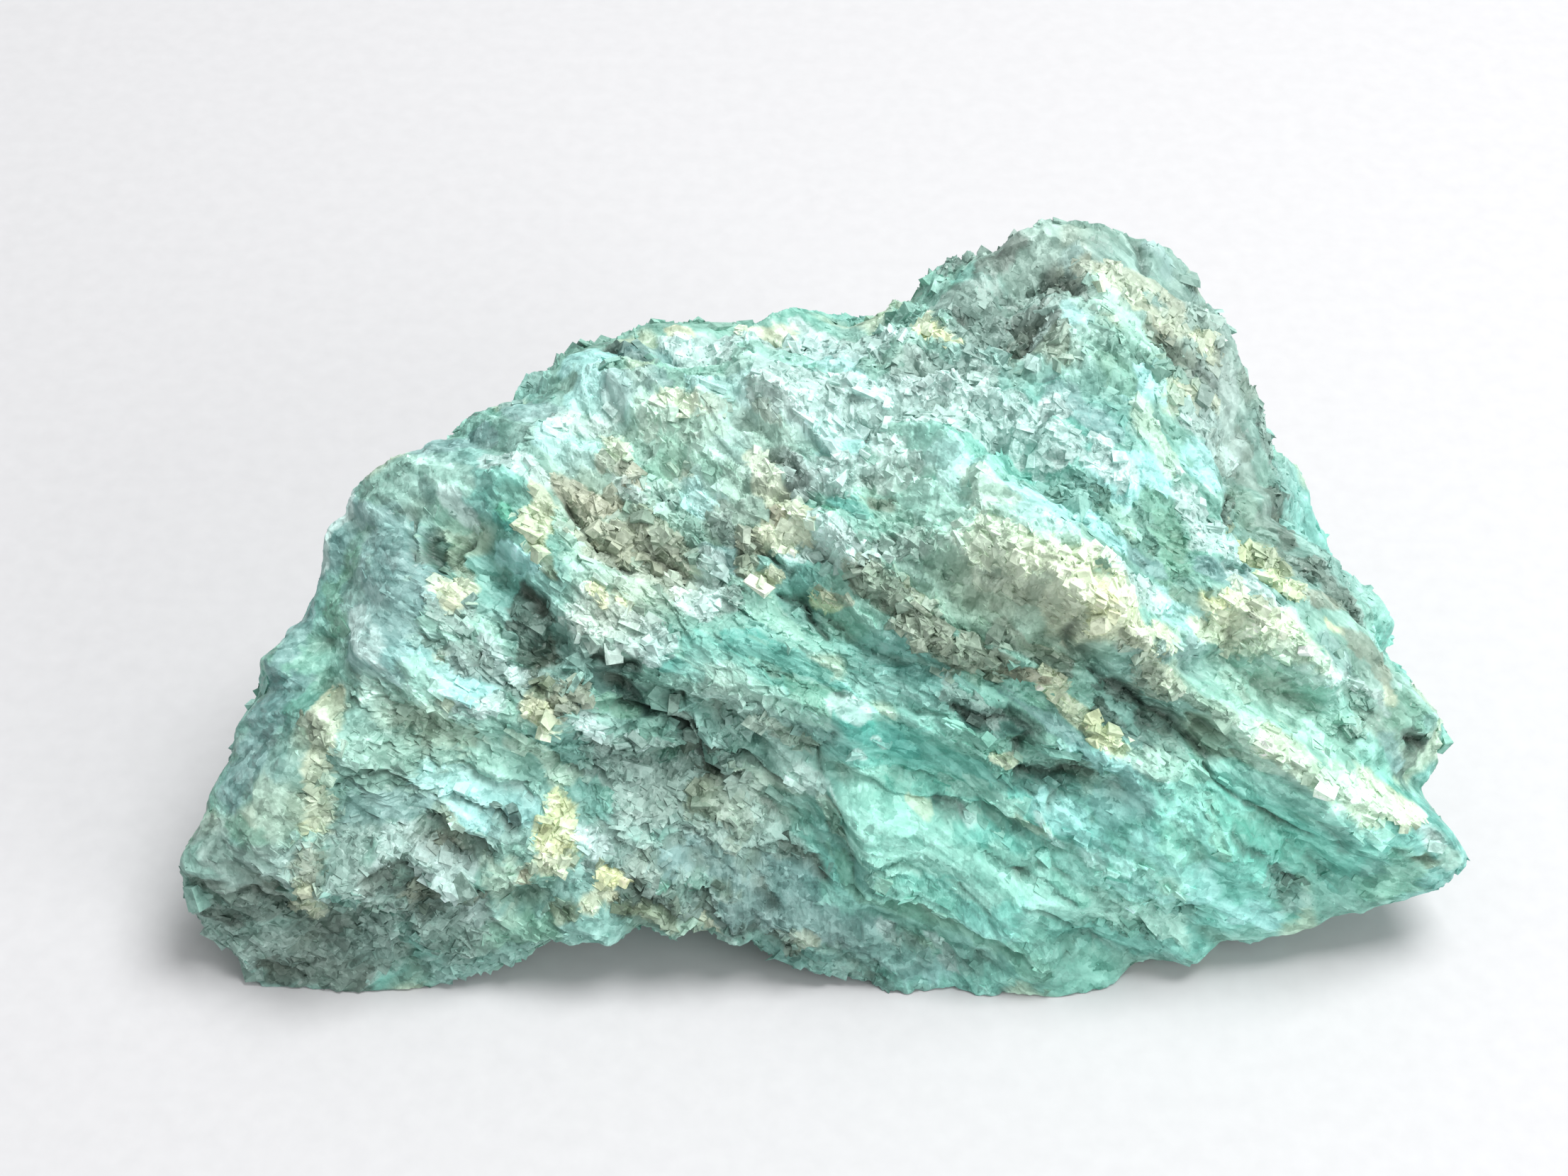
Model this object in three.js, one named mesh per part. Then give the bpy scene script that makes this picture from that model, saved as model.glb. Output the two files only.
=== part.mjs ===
// A raw piece of amazonite: one loose, broken, foliated stone about 40 mm long.
// Millimetres, +Z up. X runs along the stone, -Y is its broken front, and it rests on z = 0.
//
// The form is worked out in three steps:
//   1. hand-placed corners are spanned by flat facets, like the faces of a rough-hewn block,
//   2. a grid of directions from the heart of the stone meets those facets,
//   3. every grid point moves out or in along the surface by the stone's relief:
//      cleavage slabs, cleavage steps, lumps and the named grooves, ribs, ledges and hollows.

import { BufferGeometry, Float32BufferAttribute, Group, Mesh, MeshStandardMaterial, Vector3 } from 'three';

// ---------------------------------------------------------------- driving dimensions

const HEART = new Vector3(1.5, -1.0, 6.8);            // inner point from which every facet is seen
const HALF_SIZE = new Vector3(20, 10, 8.5);           // half length, half depth and half height
const CELLS = { x: 44, y: 22, z: 22 };                // grid cells along the three directions
const CROWDING_UP = 0.35;                             // crowds the grid towards the visible top
const EDGE_SOFTENING = 0.035;                         // how far the facet edges are rounded, in radians
const EDGE_SAMPLES = 6;                               // directions averaged around each grid direction
const REST_LEVEL = 0;                                 // flat surface that the stone lies on

const CLEAVAGE_NORMAL = new Vector3(0.53, 0.60, 0.60).normalize();
const CLEAVAGE_ALONG = new Vector3(0.848, -0.375, -0.375).normalize();
const CLEAVAGE_ACROSS = new Vector3().crossVectors(CLEAVAGE_NORMAL, CLEAVAGE_ALONG);
const UPHILL = new Vector3(0, 0.707, 0.707);          // tells the upper side of a mark from the lower

const WOBBLE = { size: 4.0, slabs: 0.7, marks: 0.3 };                       // bends the cleavage
const SLABS = { size: [7.5, 3.6, 2.2], height: 0.42, crispness: 9, seed: 20 };
const SLAB_TILT = 0.9;
const STEPS = { rise: 2.8, height: 0.55, riser: 0.35, seed: 50 };
const STEP_BREAKS = { size: [7, 5, 40], shift: 1.3, crispness: 8 };
const STEP_WAVES = { size: 3.0, shift: 0.5, seed: 59 };
const STEP_PATCHES = { size: 5.0, contrast: 2.2, seed: 70 };
const LUMPS = { size: 3.1, height: 0.20, seed: 31 };

// Corners of the rough-hewn block, in rows that follow its edges.
const CORNERS = {
  frontFoot: [
    [-19.4, -8.7, 4.5], [-19.0, -9.1, 1.8], [-17.4, -10.2, 0.1], [-15.3, -10.9, -0.7],
    [-12.5, -10.5, -0.7], [-11.0, -9.9, 0.9], [-8.1, -10.1, 1.6], [-5.9, -10.2, 3.0],
    [-2.9, -10.2, 2.4], [-0.3, -10.1, 1.5], [1.7, -10.4, 0.3], [4.2, -10.5, -0.7],
    [8.1, -10.6, -0.7], [12.2, -10.0, 0.4], [15.2, -9.5, 1.2], [18.4, -9.1, 1.9],
    [21.0, -8.8, 2.4], [22.0, -8.0, 3.7],
  ],
  rightEnd: [
    [21.2, -7.8, 5.0], [20.2, -6.0, 5.0], [21.9, -4.2, 5.2], [21.0, -4.9, 7.6],
    [19.1, -3.2, 9.0], [17.7, -1.1, 10.0], [16.6, 0.3, 10.0], [16.0, 2.2, 11.5],
    [15.2, 3.8, 13.0], [14.5, 4.9, 14.6], [13.2, 5.6, 16.3], [13.0, 6.7, 17.4],
  ],
  crest: [
    [10.6, 6.5, 18.0], [7.7, 6.5, 18.1], [6.3, 6.7, 17.0], [5.0, 5.9, 16.0],
    [3.0, 5.6, 15.0], [1.0, 5.8, 15.0], [-2.4, 5.7, 14.6], [-4.9, 5.5, 14.4],
    [-6.7, 5.3, 14.1], [-9.5, 3.3, 13.4], [-12.0, 1.3, 12.6], [-13.9, 0.8, 11.5],
  ],
  leftEnd: [
    [-15.0, -1.0, 9.5], [-15.9, -2.4, 8.0], [-17.3, -4.5, 6.4], [-18.4, -6.4, 5.0],
  ],
  plateau: [
    [-11.3, -0.7, 12.6], [-8.2, 0.4, 13.6], [-5.3, 2.0, 14.6], [-2.1, 2.0, 15.2],
    [2.1, 1.1, 15.4], [6.5, 0.6, 15.8], [4.9, -1.3, 15.2], [10.1, 3.1, 16.6],
    [10.9, 0.0, 15.2], [13.3, 0.4, 13.6], [9.8, -4.3, 13.8], [14.1, -2.4, 12.0],
  ],
  shoulder: [
    [-6.8, -1.1, 13.2], [-3.5, -1.6, 13.0], [0.3, -2.4, 13.2], [4.9, -3.9, 13.4],
    [9.8, -6.0, 11.8], [14.4, -5.2, 10.4], [17.7, -4.9, 8.8],
  ],
  brow: [
    [-12.1, -3.4, 10.8], [-9.0, -3.5, 10.5], [-5.2, -3.9, 11.6], [-2.3, -5.4, 11.2],
    [1.0, -4.2, 11.6], [4.2, -6.0, 11.2], [8.6, -6.6, 10.6], [13.0, -7.6, 8.8],
    [17.2, -7.0, 7.4],
  ],
  belly: [
    [-14.6, -5.6, 8.2], [-11.2, -6.6, 8.0], [-8.1, -7.1, 7.2], [-3.5, -6.5, 6.6],
    [1.0, -6.5, 7.6], [4.3, -7.2, 7.4], [8.7, -8.2, 6.8], [14.3, -8.5, 5.8],
    [18.4, -8.0, 5.2],
  ],
  shin: [
    [-16.9, -8.8, 5.0], [-13.9, -9.8, 4.6], [-10.4, -9.3, 4.4], [-7.3, -9.2, 4.2],
    [-3.3, -8.9, 4.2], [1.2, -9.1, 3.8], [5.5, -9.6, 3.2], [10.2, -9.6, 3.4],
    [14.7, -9.2, 3.7],
  ],
  back: [
    [-18.6, -5.5, 2.0], [-16.8, -0.8, 4.6], [-15.2, 3.4, 1.4], [-12.2, 4.4, 7.0],
    [-9.6, 6.6, 2.2], [-5.8, 6.8, 10.2], [-4.0, 9.2, 4.0], [1.4, 8.2, 11.6],
    [2.8, 10.8, 4.6], [8.6, 9.6, 13.0], [9.4, 12.4, 5.0], [13.2, 8.8, 11.0],
    [14.8, 9.4, 3.2], [17.4, 4.8, 6.6], [18.8, 3.6, 2.2], [20.4, -2.6, 2.6],
  ],
  sole: [
    [-15.2, -7.4, -0.7], [-4.6, -7.4, 1.4], [4.3, -9.0, -0.8], [8.4, -9.0, -0.8],
    [14.6, -5.4, -0.2], [15.8, 1.2, -0.7], [12.0, 7.2, -0.7], [3.4, 8.6, -0.6],
    [-5.0, 6.8, -0.7], [-12.4, 2.8, -0.6], [-15.2, -2.4, -0.6], [0.0, 0.0, -0.8],
  ],
};

// Marks of the broken surface. Each follows a line of points and rises (or, if negative, sinks)
// by `height`; it fades over `above` millimetres uphill of the line and `below` downhill of it.
const MARKS = {
  browGroove: {
    height: -1.0, above: 0.45, below: 1.5,
    line: [[0.6, -4.1, 11.7], [3.0, -5.8, 11.2], [6.4, -6.4, 10.7], [9.9, -6.9, 10.0], [13.2, -7.5, 8.7]],
  },
  browUndercut: {
    height: -1.1, above: 0.5, below: 0.8,
    line: [[8.1, -5.7, 11.9], [9.7, -6.1, 11.4], [11.6, -6.8, 9.8], [13.4, -7.4, 8.8]],
  },
  browFootBand: {
    height: 0.35, above: 0.5, below: 0.9,
    line: [[4.9, -6.2, 10.2], [7.6, -6.8, 9.5], [10.0, -7.4, 8.6]],
  },
  browLedge: {
    height: 0.9, above: 2.0, below: 0.9,
    line: [[6.1, -3.8, 13.4], [8.1, -4.8, 12.9], [9.6, -5.6, 12.1], [11.2, -6.2, 11.0]],
  },
  foldHollow: { height: -0.9, above: 0.8, below: 1.0, line: [[-7.2, -4.6, 10.2], [-8.8, -5.6, 9.3]] },
  middleCrack: {
    height: -0.8, above: 0.4, below: 0.8,
    line: [[-5.2, -5.8, 10.0], [-2.2, -6.2, 8.9], [-0.8, -6.7, 7.0]],
  },
  slabRecess: {
    height: -0.85, above: 1.4, below: 1.6,
    line: [[-5.6, -6.7, 7.9], [-2.6, -7.2, 6.1], [0.1, -8.3, 5.0]],
  },
  slabRecessFoot: { height: -0.4, above: 1.2, below: 0.8, line: [[-3.0, -8.8, 4.4], [0.0, -9.2, 3.7]] },
  slabLeftEdge: {
    height: 0.6, above: 1.0, below: 1.0,
    line: [[1.9, -6.4, 8.4], [2.3, -7.5, 6.3], [2.8, -9.0, 4.2]],
  },
  upperSlab: {
    height: 0.6, above: 1.1, below: 0.7,
    line: [[2.2, -6.1, 9.6], [4.1, -6.6, 8.9], [6.7, -7.2, 8.0]],
  },
  slabGap: {
    height: -0.55, above: 0.5, below: 0.6,
    line: [[2.0, -7.1, 6.9], [4.6, -7.7, 6.6], [7.1, -8.5, 5.7]],
  },
  lowerSlab: {
    height: 0.7, above: 1.5, below: 1.2,
    line: [[3.2, -7.8, 5.6], [5.4, -8.7, 4.4], [8.2, -9.6, 2.6]],
  },
  rightSlab: {
    height: 0.45, above: 1.2, below: 0.7,
    line: [[7.0, -7.8, 7.0], [9.6, -8.6, 5.7], [11.9, -9.2, 3.9]],
  },
  slabShadow: {
    height: -0.7, above: 0.5, below: 0.7,
    line: [[6.9, -7.0, 8.5], [8.2, -7.5, 7.9], [10.2, -8.0, 7.3]],
  },
  lobeCrescent: {
    height: -0.8, above: 0.5, below: 0.7,
    line: [[-12.1, -9.3, 4.6], [-10.3, -9.5, 3.1], [-7.7, -9.5, 3.3]],
  },
  lobeCrack: { height: -0.7, above: 0.4, below: 0.5, line: [[-11.2, -8.5, 5.8], [-9.8, -8.8, 4.9]] },
  lobeTopCrack: { height: -0.6, above: 0.4, below: 0.6, line: [[-10.2, -7.4, 6.9], [-8.2, -7.8, 6.0]] },
  lobeRim: {
    height: 0.35, above: 0.8, below: 0.8,
    line: [[-12.3, -9.5, 2.6], [-10.3, -9.7, 1.8], [-7.6, -9.9, 2.6]],
  },
  lobeCrown: {
    height: 0.35, above: 1.6, below: 1.4,
    line: [[-17.1, -8.7, 4.9], [-14.9, -8.4, 5.5], [-13.0, -9.4, 5.0]],
  },
  lobeSaddle: { height: -0.3, above: 0.9, below: 0.9, line: [[-14.7, -9.2, 2.9], [-12.8, -9.7, 1.6]] },
  shoulderNotch: {
    height: -0.9, above: 0.8, below: 1.1,
    line: [[-11.6, -0.6, 12.4], [-10.2, -1.4, 12.2], [-9.0, -2.4, 11.7]],
  },
  rustHollow: {
    height: -0.7, above: 1.0, below: 1.4,
    line: [[-6.7, -1.3, 13.1], [-4.9, -2.2, 12.6], [-3.3, -3.1, 12.3]],
  },
  rustWall: {
    height: 0.5, above: 0.8, below: 0.8,
    line: [[-7.8, 0.1, 13.6], [-8.7, -1.0, 12.9], [-7.4, -2.8, 11.9]],
  },
  middleRib: {
    height: 0.5, above: 0.8, below: 1.2,
    line: [[-12.9, -4.5, 9.5], [-10.5, -5.3, 9.0], [-7.6, -6.3, 8.8], [-4.9, -6.7, 7.8]],
  },
  middleRibFoot: {
    height: -0.5, above: 1.0, below: 0.8,
    line: [[-11.9, -6.5, 8.0], [-9.0, -6.9, 7.3], [-6.4, -7.1, 6.4]],
  },
  hornRecess: { height: -0.9, above: 0.9, below: 0.7, line: [[7.5, 4.4, 17.1], [8.3, 4.7, 17.3]] },
  hornPit: { height: -0.7, above: 0.8, below: 0.8, line: [[6.5, 3.3, 16.5], [7.6, 2.8, 16.4]] },
  hornBlock: {
    height: 0.5, above: 1.2, below: 0.9,
    line: [[8.4, 2.9, 16.6], [10.1, 2.2, 16.2], [11.3, 1.6, 15.4]],
  },
  hornBand: {
    height: 0.3, above: 0.9, below: 0.9,
    line: [[9.6, 4.6, 17.3], [11.2, 4.1, 16.4], [13.0, 3.7, 15.1]],
  },
  ridgePit: { height: -0.7, above: 0.7, below: 0.9, line: [[7.7, -1.5, 14.9], [8.3, -1.9, 14.8]] },
  rightFaceStep: {
    height: -0.6, above: 0.9, below: 0.9,
    line: [[14.0, 1.5, 13.1], [14.3, -0.2, 12.2], [14.6, -2.1, 11.6]],
  },
  rightShelf: {
    height: 0.55, above: 1.3, below: 0.6,
    line: [[12.6, -4.1, 11.6], [14.7, -4.6, 10.6], [16.5, -5.2, 9.3]],
  },
  rightShelfShadow: { height: -0.6, above: 0.5, below: 0.8, line: [[13.7, -5.4, 10.3], [16.0, -5.8, 8.9]] },
  rightLowerBand: {
    height: 0.5, above: 0.9, below: 0.7,
    line: [[14.6, -7.0, 8.3], [17.0, -7.3, 7.1], [19.4, -7.5, 5.6]],
  },
  rightNotch: { height: -0.5, above: 0.7, below: 0.7, line: [[19.7, -6.3, 5.3], [20.1, -6.5, 5.1]] },
  rightLowerHollow: { height: -0.5, above: 0.7, below: 0.7, line: [[15.1, -8.4, 5.5], [17.0, -8.8, 3.4]] },
  topRidge: {
    height: 0.4, above: 0.9, below: 0.9,
    line: [[-3.5, 0.8, 14.3], [-1.6, 1.3, 14.9], [0.6, 0.5, 14.8]],
  },
  shoulderBand: {
    height: 0.4, above: 0.9, below: 0.7,
    line: [[4.6, -1.4, 15.0], [7.3, -2.8, 14.5], [9.8, -4.4, 13.6]],
  },
  plateauDip: {
    height: -0.5, above: 1.2, below: 1.2,
    line: [[1.7, 0.5, 15.0], [4.3, 0.6, 15.5], [6.4, -0.6, 15.4]],
  },
  leftRim: {
    height: 0.2, above: 0.7, below: 0.7,
    line: [[-14.2, 0.1, 10.7], [-15.2, -2.0, 8.8], [-16.2, -4.5, 7.2]],
  },
  tipRib: {
    height: 0.3, above: 0.7, below: 0.7,
    line: [[16.1, -7.6, 6.8], [18.5, -8.0, 5.3], [20.3, -8.0, 4.4]],
  },
  archRoof: { height: -0.4, above: 0.8, below: 0.8, line: [[-7.2, -9.6, 2.4], [-3.0, -9.6, 2.2]] },
  backShelf: {
    height: 0.5, above: 0.9, below: 1.4,
    line: [[-8.5, 5.8, 9.3], [-4.6, 7.0, 10.3], [1.0, 8.2, 11.4], [6.0, 9.2, 12.2]],
  },
  backShelfShadow: {
    height: -0.8, above: 0.8, below: 1.2,
    line: [[-8.0, 6.6, 6.4], [-2.0, 8.8, 7.8], [6.0, 10.4, 8.6]],
  },
  backCrack: {
    height: -0.6, above: 0.6, below: 0.6,
    line: [[9.5, 8.0, 15.0], [8.6, 9.6, 11.5], [9.4, 11.0, 8.0]],
  },
  leftScar: {
    height: -0.6, above: 0.9, below: 0.7,
    line: [[-17.0, -1.0, 4.5], [-15.6, 2.0, 5.6], [-12.6, 4.2, 6.4]],
  },
  rightScar: {
    height: -0.6, above: 0.8, below: 1.0,
    line: [[19.8, -3.4, 6.0], [18.4, 0.6, 6.8], [17.0, 4.6, 6.2]],
  },
  rightStep: {
    height: 0.5, above: 1.0, below: 0.6,
    line: [[15.0, 5.4, 11.6], [17.0, 2.6, 8.8], [19.4, -1.4, 6.8]],
  },
};

// ---------------------------------------------------------------- chance and noise

// Repeatable number from 0 to 1 for one cell of space.
function chance(i, j, k, seed) {
  const mixed = Math.sin(i * 127.1 + j * 311.7 + k * 74.7 + seed * 19.19) * 43758.5453;
  return mixed - Math.floor(mixed);
}

function smoothStep(t) {
  return t * t * (3 - 2 * t);
}

function clamp(value, low, high) {
  return Math.min(Math.max(value, low), high);
}

// Smooth noise from -1 to 1, with lumps about `size` millimetres across.
function noise(point, size, seed) {
  const [x, y, z] = [point.x / size, point.y / size, point.z / size];
  const [i, j, k] = [Math.floor(x), Math.floor(y), Math.floor(z)];
  const [u, v, w] = [smoothStep(x - i), smoothStep(y - j), smoothStep(z - k)];
  let sum = 0;
  for (const a of [0, 1]) {
    for (const b of [0, 1]) {
      for (const c of [0, 1]) {
        const weight = Math.abs(1 - a - u) * Math.abs(1 - b - v) * Math.abs(1 - c - w);
        sum += weight * chance(i + a, j + b, k + c, seed);
      }
    }
  }
  return sum * 2 - 1;
}

// 0 to 1: where a kind of relief shows and where it fades out.
function patch(point, { size, contrast, seed }) {
  return smoothStep(clamp(noise(point, size, seed) * contrast + 0.5, 0, 1));
}

// ---------------------------------------------------------------- relief of the broken surface

// Flat, tilted slabs split along the cleavage: the nearest cell of a jittered grid gives its own
// height and tilt, and `crispness` sets how sharply one slab gives way to the next.
function slabs(point, size, crispness, seed) {
  const place = [
    point.dot(CLEAVAGE_ALONG) / size[0],
    point.dot(CLEAVAGE_ACROSS) / size[1],
    point.dot(CLEAVAGE_NORMAL) / size[2],
  ];
  const home = place.map(Math.floor);
  let height = 0;
  let total = 0;
  for (const a of [-1, 0, 1]) {
    for (const b of [-1, 0, 1]) {
      for (const c of [-1, 0, 1]) {
        const cell = [home[0] + a, home[1] + b, home[2] + c];
        const away = cell.map((n, axis) => place[axis] - (n + 0.15 + 0.7 * chance(...cell, seed + 1 + axis)));
        const weight = Math.exp(-crispness * (away[0] ** 2 + away[1] ** 2 + away[2] ** 2));
        const level = chance(...cell, seed + 4) * 2 - 1;
        const tiltAlong = (chance(...cell, seed + 5) * 2 - 1) * SLAB_TILT * away[0];
        const tiltAcross = (chance(...cell, seed + 6) * 2 - 1) * SLAB_TILT * away[1];
        height += weight * (level + tiltAlong + tiltAcross);
        total += weight;
      }
    }
  }
  return height / total;
}

// Treads and risers, -0.5 to 0.5, where the cleavage comes out at the surface.
function cleavageSteps(point, bent) {
  const layer = bent.dot(CLEAVAGE_NORMAL) / STEPS.rise
    + STEP_BREAKS.shift * slabs(bent, STEP_BREAKS.size, STEP_BREAKS.crispness, STEPS.seed)
    + STEP_WAVES.shift * noise(point, STEP_WAVES.size, STEP_WAVES.seed);
  const along = layer - Math.floor(layer);
  const tread = 1 - STEPS.riser;
  return (along < tread ? along / tread : (1 - along) / STEPS.riser) - 0.5;
}

// Offset from the nearest point of a line of points.
function offsetFromLine(point, line) {
  let nearest = null;
  for (let n = 0; n + 1 < line.length; n += 1) {
    const start = new Vector3(...line[n]);
    const span = new Vector3(...line[n + 1]).sub(start);
    const share = clamp(point.clone().sub(start).dot(span) / span.lengthSq(), 0, 1);
    const offset = point.clone().sub(start.addScaledVector(span, share));
    if (nearest === null || offset.lengthSq() < nearest.lengthSq()) {
      nearest = offset;
    }
  }
  return nearest;
}

// A groove, rib or ledge: a bell curve over the distance to its line, wider on one side.
function markHeight(point, { height, above, below, line }) {
  const offset = offsetFromLine(point, line);
  const distance = offset.length();
  const side = smoothStep(clamp(offset.dot(UPHILL) / (distance + 1e-9) * 0.9 + 0.5, 0, 1));
  const reach = below + (above - below) * side;
  return height * Math.exp(-((distance / reach) ** 2));
}

// Direction away from the heart, square to the ellipsoid of the stone's half sizes.
function outward(point) {
  return point.clone().sub(HEART).divide(HALF_SIZE).divide(HALF_SIZE).normalize();
}

function reliefHeight(point) {
  const bend = new Vector3(11, 12, 13);
  bend.set(...bend.toArray().map((seed) => noise(point, WOBBLE.size, seed)));
  const bent = point.clone().addScaledVector(bend, WOBBLE.slabs);
  const lean = clamp(outward(point).dot(CLEAVAGE_NORMAL) * 1.5, -0.8, 1);
  let height = SLABS.height * slabs(bent, SLABS.size, SLABS.crispness, SLABS.seed);
  height -= STEPS.height * lean * patch(point, STEP_PATCHES) * cleavageSteps(point, bent);
  height += LUMPS.height * noise(point, LUMPS.size, LUMPS.seed);
  const shaken = point.clone().addScaledVector(bend, WOBBLE.marks);
  for (const mark of Object.values(MARKS)) {
    height += markHeight(shaken, mark);
  }
  return height;
}

// ---------------------------------------------------------------- rough-hewn block

// Facets over the corners. Seen from the heart, with the half sizes scaled to one, the corners
// lie on a sphere; three of them span a facet when no other corner lies outside their plane.
function hewFacets(corners) {
  const seen = corners.map((corner) => corner.clone().sub(HEART).divide(HALF_SIZE).normalize());
  const facets = [];
  for (let a = 0; a < seen.length; a += 1) {
    for (let b = a + 1; b < seen.length; b += 1) {
      for (let c = b + 1; c < seen.length; c += 1) {
        const facet = spanFacet(seen, corners, [a, b, c]);
        if (facet) {
          facets.push(facet);
        }
      }
    }
  }
  return facets;
}

function planeThrough([first, second, third]) {
  const normal = second.clone().sub(first).cross(third.clone().sub(first));
  if (normal.lengthSq() < 1e-18) {
    return null;
  }
  normal.normalize();
  const distance = normal.dot(first);
  return distance < 0 ? { normal: normal.negate(), distance: -distance } : { normal, distance };
}

function spanFacet(seen, corners, trio) {
  const cover = planeThrough(trio.map((n) => seen[n]));
  if (!cover || seen.some((direction) => direction.dot(cover.normal) > cover.distance + 1e-9)) {
    return null;
  }
  const face = planeThrough(trio.map((n) => corners[n].clone().sub(HEART)));
  return { pick: cover.normal.divideScalar(cover.distance), ...face };
}

// Distance from the heart to the block, in half sizes, along one direction of the unit sphere.
function reachOfBlock(direction, facets) {
  let chosen = facets[0];
  let best = -Infinity;
  for (const facet of facets) {
    const score = facet.pick.dot(direction);
    if (score > best) {
      best = score;
      chosen = facet;
    }
  }
  return chosen.distance / chosen.normal.dot(direction.clone().multiply(HALF_SIZE));
}

// The same distance, averaged over a small ring of directions so that edges are rounded.
function softReach(direction, facets) {
  const side = direction.clone().cross(new Vector3(0.3, 0.5, 0.81)).normalize();
  const other = direction.clone().cross(side);
  let sum = 2 * reachOfBlock(direction, facets);
  for (let n = 0; n < EDGE_SAMPLES; n += 1) {
    const angle = (2 * Math.PI * n) / EDGE_SAMPLES;
    const near = direction.clone()
      .addScaledVector(side, EDGE_SOFTENING * Math.cos(angle))
      .addScaledVector(other, EDGE_SOFTENING * Math.sin(angle))
      .normalize();
    sum += reachOfBlock(near, facets);
  }
  return sum / (EDGE_SAMPLES + 2);
}

// ---------------------------------------------------------------- grid of directions

// Lines of the grid across one face of a cube, at equal angles.
function gridLine(count) {
  return Array.from({ length: count + 1 }, (_, n) => Math.tan((Math.PI / 4) * ((2 * n) / count - 1)));
}

// Cube faces wrapped on a sphere: shared corner directions, and triangles that face outwards.
function directionGrid() {
  const lines = [CELLS.x, CELLS.y, CELLS.z].map(gridLine);
  const directions = [];
  const numberAt = new Map();
  const triangles = [];

  function cornerNumber(place) {
    const key = place.map((value) => Math.round(value * 1e6)).join();
    if (!numberAt.has(key)) {
      const direction = new Vector3(...place).normalize();
      direction.z += CROWDING_UP;
      numberAt.set(key, directions.length);
      directions.push(direction.normalize());
    }
    return numberAt.get(key);
  }

  for (const axis of [0, 1, 2]) {
    const [next, last] = [(axis + 1) % 3, (axis + 2) % 3];
    for (const side of [1, -1]) {
      const at = (i, j) => {
        const place = [0, 0, 0];
        place[axis] = side;
        place[next] = lines[next][i];
        place[last] = lines[last][j];
        return cornerNumber(place);
      };
      for (let i = 0; i + 1 < lines[next].length; i += 1) {
        for (let j = 0; j + 1 < lines[last].length; j += 1) {
          const cell = [at(i, j), at(i + 1, j), at(i + 1, j + 1), at(i, j + 1)];
          const [a, b, c, d] = side > 0 ? cell : cell.reverse();
          triangles.push(a, b, c, a, c, d);
        }
      }
    }
  }
  return { directions, triangles };
}

// ---------------------------------------------------------------- the stone

function stoneSurface() {
  const corners = Object.values(CORNERS).flat().map((corner) => new Vector3(...corner));
  const facets = hewFacets(corners);
  const { directions, triangles } = directionGrid();
  const positions = [];
  for (const direction of directions) {
    const reach = softReach(direction, facets);
    const point = direction.clone().multiply(HALF_SIZE).multiplyScalar(reach).add(HEART);
    point.addScaledVector(outward(point), reliefHeight(point));
    point.z = Math.max(point.z, REST_LEVEL);
    positions.push(...point.toArray());
  }
  const geometry = new BufferGeometry();
  geometry.setAttribute('position', new Float32BufferAttribute(positions, 3));
  geometry.setIndex(triangles);
  geometry.computeVertexNormals();
  return geometry;
}

const amazonite = new MeshStandardMaterial({
  name: 'amazonite',
  color: 0x86b9ab,
  roughness: 0.62,
  metalness: 0,
  flatShading: true,
});

const stone = new Mesh(stoneSurface(), amazonite);
stone.name = 'amazonite_stone';

const part = new Group();
part.name = 'raw_amazonite';
part.add(stone);

export default part;
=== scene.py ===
import math

import bpy
import numpy as np
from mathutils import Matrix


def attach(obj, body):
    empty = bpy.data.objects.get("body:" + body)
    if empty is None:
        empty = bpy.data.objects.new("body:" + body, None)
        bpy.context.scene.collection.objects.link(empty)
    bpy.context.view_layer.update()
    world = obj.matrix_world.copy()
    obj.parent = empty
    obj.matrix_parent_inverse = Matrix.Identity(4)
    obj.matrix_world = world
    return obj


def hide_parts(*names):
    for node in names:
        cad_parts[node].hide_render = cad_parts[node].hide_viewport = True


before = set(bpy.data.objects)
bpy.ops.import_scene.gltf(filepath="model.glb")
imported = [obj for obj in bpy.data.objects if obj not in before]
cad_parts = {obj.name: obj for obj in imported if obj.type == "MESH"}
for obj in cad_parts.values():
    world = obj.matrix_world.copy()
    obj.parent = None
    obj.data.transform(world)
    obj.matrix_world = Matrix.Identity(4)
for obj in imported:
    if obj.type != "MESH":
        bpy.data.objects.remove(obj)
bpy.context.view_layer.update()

# The looks of a raw, foliated piece of amazonite. Sizes below are millimetres unless a name says
# otherwise; MM turns them into metres when a mesh is made. X runs along the stone, -Y is its broken
# front, +Z is up, and the stone rests on z = 0.
MM = 0.001

# ---------------------------------------------------------------- camera

IMAGE_SIZE = np.array([2212, 1659])             # pixels of the final image, across and down
LENS = 70.0
SENSOR = 36.0
AIM = np.array([0.0, 0.0, 8.0])                 # the camera looks at this point, from the -Y side
VIEW_DISTANCE = 100.0
VIEW_ELEVATION = math.radians(45.0)
TOWARDS_CAMERA = np.array([0.0, -math.cos(VIEW_ELEVATION), math.sin(VIEW_ELEVATION)])
UP_IN_IMAGE = np.array([0.0, math.sin(VIEW_ELEVATION), math.cos(VIEW_ELEVATION)])
CAMERA_PLACE = AIM + VIEW_DISTANCE * TOWARDS_CAMERA

# ---------------------------------------------------------------- form of the stone

HEART = np.array([1.5, -1.0, 6.8])              # inner point from which every facet is seen
HALF_SIZE = np.array([20.0, 10.0, 8.5])         # half length, half depth and half height
CELLS = (360, 190, 190)                         # grid cells along X, Y and Z
SIDES = ("right", "left", "back", "front", "top", "bottom")     # in the order of the grid's faces
CROWDING_UP = 0.35                              # crowds the grid towards the top
EDGE_SOFTENING = 0.035                          # how far facet edges are rounded, in radians
EDGE_SAMPLES = 6                                # directions averaged around each grid direction
REST_LEVEL = 0.0                                # the flat surface that the stone lies on

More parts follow.
